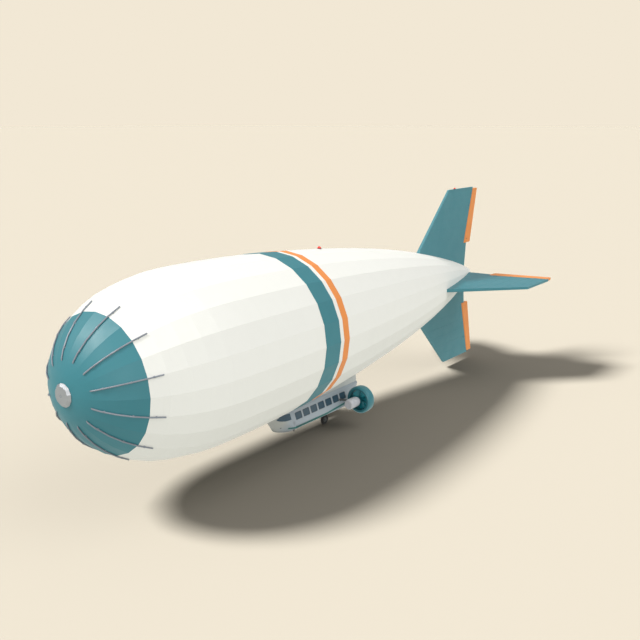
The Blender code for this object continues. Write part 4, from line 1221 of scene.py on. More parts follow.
@dataclass
class Tail:
    """Four fins with their control surfaces."""

    lead_root: Pair = (22.48, 1.817)
    lead_tip: Pair = (25.64, 4.908)
    hinge_inner: Pair = (27.62, 1.79)
    hinge_outer: Pair = (28.51, 4.85)
    root_rear: float = 27.60
    half_root: float = 0.085
    half_tip: float = 0.060
    extra_half: float = 0.020
    root_reach: float = 1.0
    rib_reaches: tuple[float, ...] = (2.25, 2.78, 3.31, 3.84, 4.37)
    hinge_reaches: tuple[float, ...] = (2.10, 3.00, 3.90, 4.60)
    rib_width: float = 0.035
    rib_height: float = 0.004
    chord_inner: float = 0.64
    chord_outer: float = 0.44
    surface_inner: float = 1.78
    surface_outer: float = 4.825
    horn_reach: float = 2.02

    def half(self, reach: float) -> float:
        """Half thickness of a fin at a reach from the axis."""
        share = (reach - self.root_reach) / (self.lead_tip[1] - self.root_reach)
        return self.half_root + (self.half_tip - self.half_root) * share

    def lead(self, reach: float) -> float:
        """Distance aft of the leading edge at a reach."""
        share = (reach - self.lead_root[1]) / (self.lead_tip[1] - self.lead_root[1])
        return self.lead_root[0] + (self.lead_tip[0] - self.lead_root[0]) * share

    def hinge(self, reach: float) -> float:
        """Distance aft of the hinge line at a reach."""
        share = (reach - self.hinge_inner[1]) / (self.hinge_outer[1] - self.hinge_inner[1])
        return self.hinge_inner[0] + (self.hinge_outer[0] - self.hinge_inner[0]) * share

    def chord(self, reach: float) -> float:
        """Chord of a control surface behind its hinge line."""
        share = (reach - self.surface_inner) / (self.surface_outer - self.surface_inner)
        return self.chord_inner + (self.chord_outer - self.chord_inner) * share

    def on_fin(self, aft: float, reach: float, face: int) -> tuple[Vector, Vector]:
        """Point and normal on one face of the upper fin."""
        return Vector((face * self.half(reach), station(aft), reach)), PORT * face

    def fin_tapes(self, lines: HullLines) -> Shape:
        """Rib tapes, edge tapes and root tapes on both faces of the upper fin.

        Args:
            lines: The envelope's line.

        Returns:
            The tapes.
        """
        shape = Shape()
        for face in (1, -1):
            for reach in self.rib_reaches:
                ends = (self.lead(reach) + 0.02, self.hinge(reach) - 0.13)
                shape.ribbon([self.on_fin(aft, reach, face) for aft in ends], self.rib_width, self.rib_height)
            edge = [self.on_fin(self.lead(reach) + 0.05, reach, face) for reach in (1.95, 3.4, 4.86)]
            shape.ribbon(edge, 0.06, self.rib_height)
            ends = (self.lead_tip[0] + 0.03, self.hinge(4.86) - 0.13)
            shape.ribbon([self.on_fin(aft, 4.872, face) for aft in ends], 0.06, self.rib_height)
            root = []
            for i in range(12):
                aft = self.lead_root[0] + 0.15 + (self.root_rear - self.lead_root[0] - 0.25) * i / 11
                root.append(self.on_fin(aft, lines.radius(station(aft)) + 0.03, face))
            shape.ribbon(root, 0.07, self.rib_height)
        return shape

    def hinge_straps(self) -> Shape:
        """Hinge straps on both faces of the upper fin, just ahead of the gap."""
        shape = Shape()
        for face in (1, -1):
            for reach in self.hinge_reaches:
                half = self.half(reach)
                rear = station(self.hinge(reach) - 0.125)
                low = Vector((min(face * half, face * (half + 0.014)), rear - 0.16, reach - 0.028))
                high = Vector((max(face * half, face * (half + 0.014)), rear, reach + 0.028))
                shape.block(low, high, 0.004)
        return shape

    def on_surface(self, share: float, reach: float, face: int) -> tuple[Vector, Vector]:
        """Point and normal on one face of the upper rudder, by the share of its chord.

        Args:
            share: Share of the chord.
            reach: Distance from the ship's axis.
            face: 1 or -1, for one face or the other.

        Returns:
            Point and normal.
        """
        front = self.half(reach) + self.extra_half
        half = front * (1.0 - 0.2 * share)
        point = Vector((face * half, station(self.hinge(reach) + share * self.chord(reach)), reach))
        normal = Vector((face, 0.2 * front / self.chord(reach), 0.0)).normalized()
        return point, normal

    def surface_tapes(self) -> Shape:
        """Rib tapes and trailing-edge tape on both faces of the upper rudder."""
        shape = Shape()
        for face in (1, -1):
            for reach in (1.84, *self.rib_reaches, 4.77):
                path = [self.on_surface(share, reach, face) for share in (0.04, 0.5, 0.97)]
                shape.ribbon(path, self.rib_width, self.rib_height)
            edge = [self.on_surface(0.93, reach, face) for reach in (1.80, 3.3, 4.80)]
            shape.ribbon(edge, 0.05, self.rib_height * 1.5)
        return shape

    def horn(self) -> Shape:
        """Push-rod horn on the rudder's face, near its inner end."""
        point = self.on_surface(0.12, self.horn_reach, 1)[0]
        low = point + Vector((-0.004, -0.03, -0.006))
        return Shape().block(low, low + Vector((0.085, 0.06, 0.012)), 0.003)

    def build(self, shop: Workshop, lines: HullLines) -> None:
        """Dress the four fins and add their tapes, straps and horns.

        Args:
            shop: The workshop.
            lines: The envelope's line.
        """
        shop.place_round(self.fin_tapes(lines), "fin_tapes", TEAL_SKIN, "root", count=4)
        shop.place_round(self.hinge_straps(), "fin_hinge_straps", TEAL_SKIN, "root", count=4)
        rows = (("upper", "rudder"), ("port", "elevator"), ("lower", "rudder"), ("starboard", "elevator"))
        for i, (word, kind) in enumerate(rows):
            body = f"{word}_{kind}"
            turn = Matrix.Rotation(math.radians(90.0 * i), 4, "Y")
            shop.dress(TEAL_SKIN, f"fin_{word}")
            shop.dress(ORANGE_SKIN, f"{kind}_{word}")
            shop.place(self.surface_tapes().moved(turn), f"{kind}_{word}_tapes", ORANGE_SKIN, body)
            shop.place(self.horn().moved(turn), f"{kind}_{word}_horn", DARK_STEEL, body)


@dataclass
class Beacons:
    """Red beacons on the envelope's back and on the upper fin."""

    collar_height: float = 0.022

    def build(self, shop: Workshop) -> None:
        """Dress the lenses and seat each in a collar.

        Args:
            shop: The workshop.
        """
        shop.dress(RED_LENS, "beacon_top", "beacon_fin")
        for name in ("beacon_top", "beacon_fin"):
            low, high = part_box(name)
            centre = Vector(((low.x + high.x) / 2, (low.y + high.y) / 2, low.z))
            radius = (high.x - low.x) / 2
            top = self.collar_height
            profile = ((0.0, radius * 1.01), (0.0, radius + 0.012), (top * 0.7, radius + 0.012),
                       (top, radius + 0.004), (top, radius * 1.01))
            shop.place(Shape().turned(profile, 32, centre, UP), f"{name}_collar", DARK_STEEL, "root")


class SkinProbe:
    """Finds points on the outside of frame nodes, looking in from one side."""

    def __init__(self, shop: Workshop, *names: str) -> None:
        """Read the nodes' faces into one search tree.

        Args:
            shop: The workshop.
            names: The nodes.
        """
        points = []
        faces = []
        for name in names:
            mesh = shop.node(name).data
            first = len(points)
            points += [vertex.co.copy() for vertex in mesh.vertices]
            faces += [tuple(first + i for i in polygon.vertices) for polygon in mesh.polygons]
        self.tree = BVHTree.FromPolygons(points, faces)

    def touch(self, y: float, z: float, side: Side) -> tuple[Vector, Vector] | None:
        """Point and outward normal where a level line from outside meets the skin.

        Args:
            y: Y coordinate of the line.
            z: Height of the line.
            side: Side that the line comes from.

        Returns:
            Point and normal, or None where there is no skin.
        """
        start = Vector((side.value * 2.0, y, z))
        point, normal, _, _ = self.tree.ray_cast(start, Vector((-side.value, 0.0, 0.0)), 2.0)
        if point is None:
            return None
        if normal.x * side.value < 0.0:
            normal = -normal
        return point, normal


@dataclass
class Cabin:
    """The gondola: its paint, window gaskets, door, studs, lamps and antennas."""

    window_first: float = 11.16
    window_pitch: float = 0.55
    window_width: float = 0.42
    window_lean: float = 0.05
    window_top: float = -3.69
    window_bottom: float = -4.00
    door_window: float = 11.29
    corner: float = 0.05
    gasket_width: float = 0.020
    gasket_height: float = 0.006
    gasket_reach: float = 0.018
    gasket_margin: float = 0.006
    rivet_pitch: float = 0.055
    rivet_radius: float = 0.0035
    rivet_first: Pair = (11.13, 11.86)
    rivet_last: float = 15.06
    rivet_heights: Pair = (-3.600, -4.325)
    rivet_posts: tuple[Triple, ...] = (
        (11.125, -3.64, -4.30), (15.07, -3.64, -4.28), (15.13, -3.62, -4.26), (11.065, -3.62, -4.28))
    handle_aft: float = 11.755
    handle_height: float = -4.16
    lamp_spot: Vector = Vector((0.345, -0.299, -4.294))
    lamp_facing: Vector = Vector((0.45, -0.74, -0.51))
    antenna_foot: Vector = Vector((0.70, 0.165, -4.424))
    antenna_sections: tuple[Triple, ...] = (
        (0.0, 0.045, 0.012), (0.05, 0.034, 0.009), (0.095, 0.020, 0.005))

    def rounded(self, corners: Profile, radius: float, steps: int = 7) -> list[Pair]:
        """Round the corners of an outline in (aft, height).

        Args:
            corners: The outline's corners.
            radius: Distance from a corner at which it is cut.
            steps: Number of steps round each corner.

        Returns:
            The rounded outline.
        """
        points = []
        count = len(corners)
        for i, corner in enumerate(corners):
            here = Vector(corner)
            to_before = Vector(corners[i - 1]) - here
            to_after = Vector(corners[(i + 1) % count]) - here
            cut = min(radius, to_before.length * 0.45, to_after.length * 0.45)
            start = here + to_before.normalized() * cut
            end = here + to_after.normalized() * cut
            for k in range(steps + 1):
                share = k / steps
                points.append(tuple(start.lerp(here, share).lerp(here.lerp(end, share), share)))
        return points

    def outline(self, start: float, grow: float) -> list[Pair]:
        """Rounded outline of one side window, grown by a margin.

        Args:
            start: Distance aft of the window's upper front corner.
            grow: The margin.

        Returns:
            The outline.
        """
        top = self.window_top + grow
        bottom = self.window_bottom - grow
        rear = start + self.window_width
        corners = ((start - grow, top), (rear + grow, top), (rear + grow + self.window_lean, bottom),
                   (start - grow + self.window_lean, bottom))
        return self.rounded(corners, self.corner)

    def gasket(self, probe: SkinProbe, outline: Profile, side: Side, shape: Shape) -> None:
        """Lay a gasket on the skin round an outline, with its height read a little outside the opening.

        Args:
            probe: The cabin's skin.
            outline: The outline in (aft, height).
            side: Side of the ship.
            shape: Shape that the gasket is added to.
        """
        middle = Vector((sum(aft for aft, z in outline), sum(z for aft, z in outline))) / len(outline)
        path = []
        for aft, z in outline:
            beyond = Vector((aft, z)) + (Vector((aft, z)) - middle).normalized() * self.gasket_reach
            found = probe.touch(station(beyond.x), beyond.y, side)
            if found is None:
                continue
            point, normal = found
            shift = (normal.y * (point.y - station(aft)) + normal.z * (point.z - z)) / normal.x
            path.append((Vector((point.x + shift, station(aft), z)), normal))
        shape.ribbon(path, self.gasket_width, self.gasket_height, closed=True)

    def gaskets(self, shop: Workshop, probe: SkinProbe) -> None:
        """Gaskets of the side windows, with the door's own on the door.

        Args:
            shop: The workshop.
            probe: The cabin's skin.
        """
        grow = self.gasket_margin
        for side, windows in ((Side.PORT, range(0, 7)), (Side.STARBOARD, range(2, 7))):
            shape = Shape()
            for i in windows:
                self.gasket(probe, self.outline(self.window_first + self.window_pitch * i, grow), side, shape)
            shop.place(shape, f"gaskets_{side.word}", GASKET_RUBBER, "root")
        shape = Shape()
        self.gasket(probe, self.outline(self.door_window, grow), Side.STARBOARD, shape)
        shop.place(shape, "gasket_door", GASKET_RUBBER, "cabin_door")

    def wall_line(self, probe: SkinProbe, ends: tuple[float, float, float, float], side: Side,
                  steps: int = 6) -> list[Vector]:
        """Points on the wall between two ends (aft, height, aft, height).

        Args:
            probe: The cabin's skin.
            ends: The two ends.
            side: Side of the ship.
            steps: Number of steps between them.

        Returns:
            The points.
        """
        points = []
        for i in range(steps + 1):
            share = i / steps
            aft = ends[0] + (ends[2] - ends[0]) * share
            z = ends[1] + (ends[3] - ends[1]) * share
            found = probe.touch(station(aft), z, side)
            if found is not None:
                points.append(found[0])
        return points

    def rivets(self, shop: Workshop, probe: SkinProbe) -> None:
        """Rows of studs along the panel edges of the side walls.

        Args:
            shop: The workshop.
            probe: The cabin's skin.
        """
        lines = []
        for side in Side:
            first = self.rivet_first[0 if side is Side.PORT else 1]
            for z in self.rivet_heights:
                lines.append(self.wall_line(probe, (first, z, self.rivet_last, z), side))
            for aft, top, foot in self.rivet_posts:
                lines.append(self.wall_line(probe, (aft, top, aft, foot), side))
        piece = shop.stud_row("cabin_rivets", lines, self.rivet_pitch, self.rivet_radius, CABIN_PAINT)
        shop.fit(piece, "root", CABIN_PAINT)

    def door_fittings(self, shop: Workshop, probe: SkinProbe) -> None:
        """Handle on the door, with its plate.

        Args:
            shop: The workshop.
            probe: The cabin's skin.
        """
        point, normal = probe.touch(station(self.handle_aft), self.handle_height, Side.STARBOARD)
        up = normal.cross(AFT).normalized() * -1.0
        place = Matrix((normal, AFT, up)).transposed().to_4x4()
        place.translation = point
        handle = Shape()
        handle.block(Vector((-0.001, -0.035, -0.022)), Vector((0.004, 0.035, 0.022)), 0.0015, place)
        handle.block(Vector((0.006, -0.045, -0.007)), Vector((0.016, 0.020, 0.007)), 0.003, place)
        handle.block(Vector((0.002, 0.004, -0.005)), Vector((0.012, 0.014, 0.005)), 0.001, place)
        shop.place(handle, "door_handle", BRIGHT_STEEL, "cabin_door")

    def lamps(self, shop: Workshop) -> None:
        """Landing lamps in the bow and a stub antenna on each lower edge.

        Args:
            shop: The workshop.
        """
        rim = ((-0.004, 0.036), (0.005, 0.036), (0.008, 0.032), (0.005, 0.028), (-0.004, 0.028))
        glass = ((-0.003, 0.0), (-0.003, 0.0275), (0.003, 0.0275), (0.006, 0.015), (0.007, 0.0))
        turns = [math.tau * k / 12 for k in range(12)]
        for side in Side:
            spot = side.place(self.lamp_spot)
            facing = side.place(self.lamp_facing)
            ring = Shape().turned(rim, 32, spot, facing)
            shop.place(ring, f"bow_lamp_ring_{side.word}", DARK_STEEL, "root")
            lens = Shape().turned(glass, 32, spot, facing, closed=False)
            shop.place(lens, f"bow_lamp_{side.word}", CLEAR_LENS, "root")
            foot = side.place(self.antenna_foot)
            rows = []
            for drop, chord, half in self.antenna_sections:
                middle = foot + Vector((0.0, drop * 0.3, -drop))
                rows.append([middle + Vector((math.sin(turn) * half, -math.cos(turn) * chord, 0.0))
                             for turn in turns])
            shop.place(Shape().rings(rows), f"stub_antenna_{side.word}", DARK_STEEL, "root")

    def build(self, shop: Workshop) -> None:
        """Dress the cabin and add its fine parts.

        Args:
            shop: The workshop.
        """
        shell = ("gondola_tail", "gondola_nose", "gondola_belly", "gondola_roof",
                 "gondola_side_port", "gondola_side_starboard", "door")
        shop.soften("root", CABIN_PAINT, "gondola_tail", angle=10.0)
        shop.soften("root", CABIN_PAINT, *shell[1:-1], angle=24.0)
        shop.soften("cabin_door", CABIN_PAINT, "door", angle=24.0)
        shop.soften("root", FAIRING_CLOTH, "roof_fairing", angle=24.0)
        shop.dress(WINDOW_GLASS, "glass_port", "glass_starboard", "glass_door",
                   "glass_cockpit_port", "glass_cockpit_starboard")
        probe = SkinProbe(shop, *shell)
        self.gaskets(shop, probe)
        self.rivets(shop, probe)
        self.door_fittings(shop, probe)
        self.lamps(shop)


@dataclass
class Upholstery:
    """Seat cushions, blown up like stuffed covers, and the frames under them."""

    floor: float = -4.5147
    width: float = 0.26
    depth: float = 0.26
    seat_height: float = 0.22
    back_height: float = 0.56
    cushion: float = 0.06
    back: float = 0.07
    out: float = 0.42
    pilot_out: float = 0.20
    pilot_aft: float = 10.98
    first: float = 11.55
    pitch: float = 0.66
    rows: int = 5
    voxel: float = 0.011
    swell: float = 0.012

    def pad(self, size: Vector) -> bpy.types.Mesh:
        """Pad of a given size about the origin, swelled by a short cloth simulation.

        Args:
            size: Width, depth and height of the pad when it is full.

        Returns:
            The pad's mesh.
        """
        inset = Vector((self.swell, self.swell, self.swell * 1.4)) * 0.5
        low = -size / 2 + inset
        made = Shape().block(low, -low, 0.008).finish("pad", bpy.data.materials.new("pad"))
        remesh = made.modifiers.new("even", "REMESH")
        remesh.mode = "VOXEL"
        remesh.voxel_size = self.voxel
        bpy.context.view_layer.objects.active = made
        bpy.ops.object.modifier_apply(modifier="even")
        rest = [vertex.co.copy() for vertex in made.data.vertices]
        cloth = made.modifiers.new("swell", "CLOTH")
        cloth.settings.use_pressure = True
        cloth.settings.uniform_pressure_force = 4.0
        cloth.settings.effector_weights.gravity = 0.0
        cloth.settings.quality = 4
        scene = bpy.context.scene
        for frame in range(1, 21):
            scene.frame_set(frame)
        graph = bpy.context.evaluated_depsgraph_get()
        blown = [vertex.co.copy() for vertex in made.evaluated_get(graph).data.vertices]
        made.modifiers.clear()
        scene.frame_set(1)
        for vertex, start, end in zip(made.data.vertices, rest, blown):
            push = end - start
            if push.length > self.swell:
                push = push.normalized() * self.swell
            vertex.co = start + push
        return made.data

    def welt(self, shape: Shape, centre: Vector, size: Vector) -> None:
        """Piping round the pad's middle.

        Args:
            shape: Shape that the piping is added to.
            centre: Centre of the pad.
            size: Size of the pad.
        """
        half = size / 2
        points = []
        for i in range(28):
            turn = math.tau * i / 28
            x = math.copysign(abs(math.cos(turn)) ** 0.3, math.cos(turn)) * (half.x - 0.003)
            y = math.copysign(abs(math.sin(turn)) ** 0.3, math.sin(turn)) * (half.y - 0.003)
            points.append(centre + Vector((x, y, 0.0)))
        shape.tube(points, 0.004, 6, closed=True)

    def build(self, shop: Workshop) -> None:
        """Make every seat of the cabin.

        Args:
            shop: The workshop.
        """
        seat_size = Vector((self.width, self.depth, self.cushion))
        back_size = Vector((self.width - 0.02, self.back, self.back_height - self.seat_height))
        seat_pad = self.pad(seat_size)
        back_pad = self.pad(back_size)
        passengers = [self.first + self.pitch * i for i in range(self.rows)]
        groups = (("port", [(self.out, aft) for aft in passengers]),
                  ("starboard", [(-self.out, aft) for aft in passengers[1:]]),
                  ("pilots", [(self.pilot_out, self.pilot_aft), (-self.pilot_out, self.pilot_aft)]))
        for name, places in groups:
            pads = Shape()
            frame = Shape()
            for out, aft in places:
                seat_top = self.floor + self.seat_height
                centre = Vector((out, station(aft) + self.depth / 2, seat_top - self.cushion / 2))
                self.put(pads, seat_pad, centre)
                self.welt(pads, centre, seat_size)
                behind = Vector((out, station(aft) + self.depth - self.back / 2 + 0.005,
                                 (seat_top + self.floor + self.back_height) / 2))
                self.put(pads, back_pad, behind)
                y = station(aft)
                frame.block(Vector((out - 0.05, y + 0.08, self.floor + 0.012)),
                            Vector((out + 0.05, y + 0.18, seat_top - self.cushion)), 0.006)
                frame.block(Vector((out - 0.11, y + 0.02, seat_top - self.cushion - 0.012)),
                            Vector((out + 0.11, y + 0.25, seat_top - self.cushion)), 0.004)
                frame.block(Vector((out - 0.015, y + self.depth - 0.012, seat_top - 0.06)),
                            Vector((out + 0.015, y + self.depth + 0.008, seat_top + 0.22)), 0.003)
            ends = [aft for out, aft in places]
            for out in sorted({out for out, aft in places}):
                rear = station(max(ends)) + self.depth + 0.02
                frame.block(Vector((out - 0.03, station(min(ends)), self.floor)),
                            Vector((out + 0.03, rear, self.floor + 0.03)), 0.004)
            cushions = shop.place(pads, f"cushions_{name}", SEAT_CLOTH, "root", f"seats_{name}", smooth=60.0)
            shop.place(frame, f"seat_frames_{name}", DARK_STEEL, "root", f"seats_{name}")
        for item in [item for item in bpy.data.objects if item.data in (seat_pad, back_pad)]:
            bpy.data.objects.remove(item)

    def put(self, shape: Shape, pad: bpy.types.Mesh, centre: Vector) -> None:
        """Add a copy of a pad at a centre."""
        part = bmesh.new()
        part.from_mesh(pad)
        bmesh.ops.translate(part, verts=part.verts, vec=centre)
        shape.take(part)


@dataclass
class Dash:
    """Instrument panel with its dials and the two yokes."""

    dial_radius: float = 0.026
    dial_pitch: float = 0.075
    dials: int = 4

    def build(self, shop: Workshop) -> None:
        """Replace the plain panel by a hooded one.

        Args:
            shop: The workshop.
        """
        low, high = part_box("instrument_panel")
        top = high.z
        shape = Shape()
        shape.block(Vector((low.x, low.y, top - 0.135)), Vector((high.x, high.y, top - 0.02)), 0.012)
        shape.block(Vector((low.x, low.y, top - 0.025)), Vector((high.x, high.y + 0.02, top)), 0.008)
        shape.block(Vector((-0.075, low.y + 0.012, low.z)), Vector((0.075, high.y - 0.012, top - 0.12)), 0.01)
        shop.place(shape, "dash", PANEL_PLASTIC, "root", "instrument_panel")
        yokes = Shape()
        for out in (-0.2, 0.2):
            centre = Vector((out, high.y + 0.05, high.z - 0.06))
            rim = [centre + Vector((math.cos(a) * 0.065, 0.0, math.sin(a) * 0.05))
                   for a in (math.radians(205.0 + 26.0 * k) for k in range(6))]
            yokes.tube(rim, 0.007, 8)
            yokes.tube([centre + Vector((0.0, -0.055, 0.0)), centre + Vector((0.0, -0.02, -0.02)),
                        centre + Vector((0.0, 0.0, -0.05))], 0.008, 8)
        shop.place(yokes, "yokes", DARK_STEEL, "root")
        radius = self.dial_radius
        bezel = ((0.0, 0.0), (0.0, radius), (0.006, radius), (0.006, radius - 0.004), (0.003, radius - 0.006),
                 (0.003, 0.0))
        for side in Side:
            start = side.value * 0.20 - self.dial_pitch * (self.dials - 1) / 2
            first = Vector((start, high.y, top - 0.062))
            dial = Shape().turned(bezel, 24, first, AFT, closed=False)
            shop.place_copies(dial, f"dials_{side.word}", DIAL_FACE, "root", count=self.dials, pivot=first,
                              step=Vector((self.dial_pitch, 0.0, 0.0)))


@dataclass
class Pod:
    """One tilting ducted fan with its nacelle and outrigger."""

    side: Side
    out: float = 1.55
    height: float = -3.92
    tilt: float = 14.48
    trunnion_start: float = 1.255
    blades: int = 8
    vanes: int = 4
    vane_turn: float = math.radians(7.5)
    fan_middle: float = 14.99
    nacelle: Profiles = (
        (13.962, 0.0), (13.962, 0.140), (13.953, 0.150), (13.952, 0.178), (13.957, 0.193),
        (13.970, 0.207), (13.990, 0.220), (14.012, 0.229), (14.035, 0.2343), (14.130, 0.2343),
        (14.132, 0.2300), (14.138, 0.2300), (14.140, 0.2343), (14.330, 0.2343), (14.332, 0.2300),
        (14.338, 0.2300), (14.340, 0.2343), (14.480, 0.2343), (14.530, 0.2310), (14.575, 0.2230),
        (14.615, 0.2100), (14.650, 0.1910), (14.678, 0.1680), (14.692, 0.1495), (14.692, 0.0))
    hub: Profiles = ((14.690, 0.0), (14.690, 0.149), (14.919, 0.149), (14.919, 0.0))
    duct: Profiles = (
        (14.7425, 0.5605), (14.800, 0.626), (14.810, 0.6295), (15.110, 0.6295), (15.145, 0.624),
        (15.159, 0.608), (15.159, 0.520), (15.151, 0.4925), (14.900, 0.4950), (14.800, 0.5400))
    liner: Profiles = (
        (14.752, 0.4695), (14.742, 0.4795), (14.742, 0.5600), (14.790, 0.5500), (14.900, 0.5000),
        (15.150, 0.5000), (15.150, 0.4920), (15.120, 0.4695))
    spinner: Profiles = (
        (14.9205, 0.0), (14.9205, 0.147), (14.950, 0.147), (14.985, 0.142), (15.020, 0.128), (15.045, 0.105),
        (15.058, 0.070), (15.060, 0.0))
    cone: Profiles = (
        (15.068, 0.0), (15.068, 0.120), (15.100, 0.118), (15.130, 0.100), (15.150, 0.070), (15.159, 0.030),
        (15.159, 0.0))
    stator_vanes: int = 24
    stator_middle: float = 15.106
    stator_lean: float = -40.0
    stator_chord: float = 0.108
    stator_thick: float = 0.006
    blade_sections: tuple[tuple[float, float, float, float], ...] = (
        (0.12, 0.150, 58.0, 0.016), (0.18, 0.185, 49.0, 0.013), (0.26, 0.235, 38.0, 0.010),
        (0.36, 0.295, 29.0, 0.008), (0.43, 0.330, 25.0, 0.006), (0.4540, 0.330, 24.5, 0.003))
    vane_middle: float = 14.84

    @property
    def axis(self) -> Vector:
        """Point of the fan's axis abreast of the origin, from which distances aft are measured."""
        return Vector((self.side.value * self.out, -LIFT_FROM_NOSE, self.height))

    def about_axis(self, profile: Profile, sides: int, closed: bool) -> Shape:
        """Turn a profile of (aft, radius) about the fan's axis."""
        return Shape().turned(profile, sides, self.axis, AFT, closed)

    def vane(self) -> Shape:
        """One streamlined vane between the nacelle's tail and the duct, pointing up."""
        turns = [math.tau * k / 16 for k in range(16)]
        return Shape().rings([[self.axis + Vector((0.0115 * math.sin(turn),
                                                   self.vane_middle - 0.0395 * math.cos(turn), reach))
                               for turn in turns] for reach in (0.143, 0.478)])

    def foil(self, middle: float, section: tuple[float, float, float, float], points: int) -> list[Vector]:
        """Ring of points round one section of a blade, bent about the fan's axis.

        Args:
            middle: Distance aft of the section's middle.
            section: Reach from the axis, chord, lean in degrees and thickness.
            points: Number of points round the section.

        Returns:
            The ring.
        """
        reach, chord, degrees, thick = section
        lean = math.radians(degrees) * self.side.value
        ring = []
        for k in range(points):
            turn = math.tau * k / points
            across = math.cos(turn) * chord / 2
            through = math.sin(turn) * thick / 2
            bend = (across * math.cos(lean) - through * math.sin(lean)) / reach
            y = across * math.sin(lean) + through * math.cos(lean)
            ring.append(self.axis + Vector((math.sin(bend) * reach, middle + y, math.cos(bend) * reach)))
        return ring

    def blade(self) -> Shape:
        """One twisted blade, pointing up."""
        return Shape().rings([self.foil(self.fan_middle, section, 14) for section in self.blade_sections])

    def stator(self, shop: Workshop) -> None:
        """Guide vanes and tail cone behind the fan.

        Args:
            shop: The workshop.
        """
        word = self.side.word
        pod = f"{word}_pod"
        # Tail cone and guide vanes in the brighter teal, painted light against the duct's shade.
        shop.place(self.about_axis(self.cone, 48, False), f"stator_cone_{word}", FAN_TEAL_PAINTED_LIGHT, pod)
        ends = [(reach, self.stator_chord, self.stator_lean, self.stator_thick) for reach in (0.10, 0.472)]
        vane = Shape().rings([self.foil(self.stator_middle, section, 12) for section in ends])
        shop.place_round(vane, f"stator_vanes_{word}", FAN_TEAL_PAINTED_LIGHT, pod, count=self.stator_vanes,
                         pivot=self.axis, smooth=50.0)

    def louvres(self, shop: Workshop) -> None:
        """Cooling slats on the nacelle's outer and inner shoulders.

        Args:
            shop: The workshop.
        """
        pod = f"{self.side.word}_pod"
        for label, degrees in (("outer", 48.0), ("inner", -48.0)):
            turn = math.radians(degrees)
            out = Vector((math.sin(turn), 0.0, math.cos(turn)))
            along = Vector((out.z, 0.0, -out.x))
            first = self.axis + Vector((0.0, 14.165, 0.0)) + out * 0.2335
            place = Matrix((along, AFT, out)).transposed().to_4x4()
            place.translation = first
            slat = Shape().block(Vector((-0.045, -0.006, -0.003)), Vector((0.045, 0.006, 0.004)), 0.002,
                                 place @ Matrix.Rotation(math.radians(18.0), 4, "X"))
            shop.place_copies(slat, f"louvres_{label}_{self.side.word}", POD_PAINT, pod, count=7, pivot=first,
                              step=Vector((0.0, 0.022, 0.0)))

    def ring_bolts(self, shop: Workshop) -> None:
        """Bolt heads round the duct's rear band and the nacelle's nose.

        Args:
            shop: The workshop.
        """
        word = self.side.word
        rows = (("duct", 15.02, 0.6290, 32, 0.006), ("nose", 14.055, 0.2338, 16, 0.004))
        for label, aft, radius, count, head in rows:
            profile = ((-0.001, 0.0), (-0.001, head), (0.003, head), (0.0045, head * 0.6), (0.0045, 0.0))
            bolt = Shape().turned(profile, 8, self.axis + Vector((0.0, aft, radius)), UP, closed=False)
            shop.place_round(bolt, f"{label}_bolts_{word}", BATTEN_METAL, f"{word}_pod", count=count,
                             pivot=self.axis + Vector((0.0, aft, 0.0)))

    def build(self, shop: Workshop) -> None:
        """Build the pod, its fan and the outrigger's finish.

        Args:
            shop: The workshop.
        """
        word = self.side.word
        pod = f"{word}_pod"
        nacelle = self.about_axis(self.nacelle, 64, False)
        start = Vector((self.side.value * self.trunnion_start, station(self.tilt), self.height))
        nacelle.turned(((0.0, 0.0), (0.0, 0.062), (0.006, 0.070), (0.20, 0.070), (0.20, 0.0)), 32, start,
                       PORT * self.side.value, False)
        shop.place(nacelle, f"pod_body_{word}", POD_PAINT, pod, f"nacelle_{word}")
        shop.place(self.about_axis(self.duct, 96, True), f"pod_duct_{word}", DUCT_PAINT, pod, f"duct_{word}")
        # Front face, bore and hub, and the vanes below, take the darker teal, which is painted shade.
        liner = self.about_axis(self.liner, 96, True).turned(self.hub, 64, self.axis, AFT, False)
        shop.place(liner, f"pod_liner_{word}", DUCT_TEAL_PAINTED_SHADE, pod)
        around = Matrix.Translation(self.axis) @ Matrix.Rotation(self.vane_turn, 4, "Y")
        vane = self.vane().moved(around @ Matrix.Translation(-self.axis))
        shop.place_round(vane, f"pod_vanes_{word}", DUCT_TEAL_PAINTED_SHADE, pod, count=self.vanes, pivot=self.axis)
        self.stator(shop)
        self.louvres(shop)
        self.ring_bolts(shop)
        # Spinner and blades in the brighter teal, painted light against the duct's shade.
        spinner = self.about_axis(self.spinner, 48, False)
        shop.place(spinner, f"fan_spinner_{word}", FAN_TEAL_PAINTED_LIGHT, f"{word}_fan", f"fan_{word}")
        shop.place_round(self.blade(), f"fan_blades_{word}", FAN_TEAL_PAINTED_LIGHT, f"{word}_fan", f"fan_{word}",
                         count=self.blades, pivot=self.axis, smooth=50.0)
        shop.dress(STRUT_PAINT, f"outrigger_{word}")


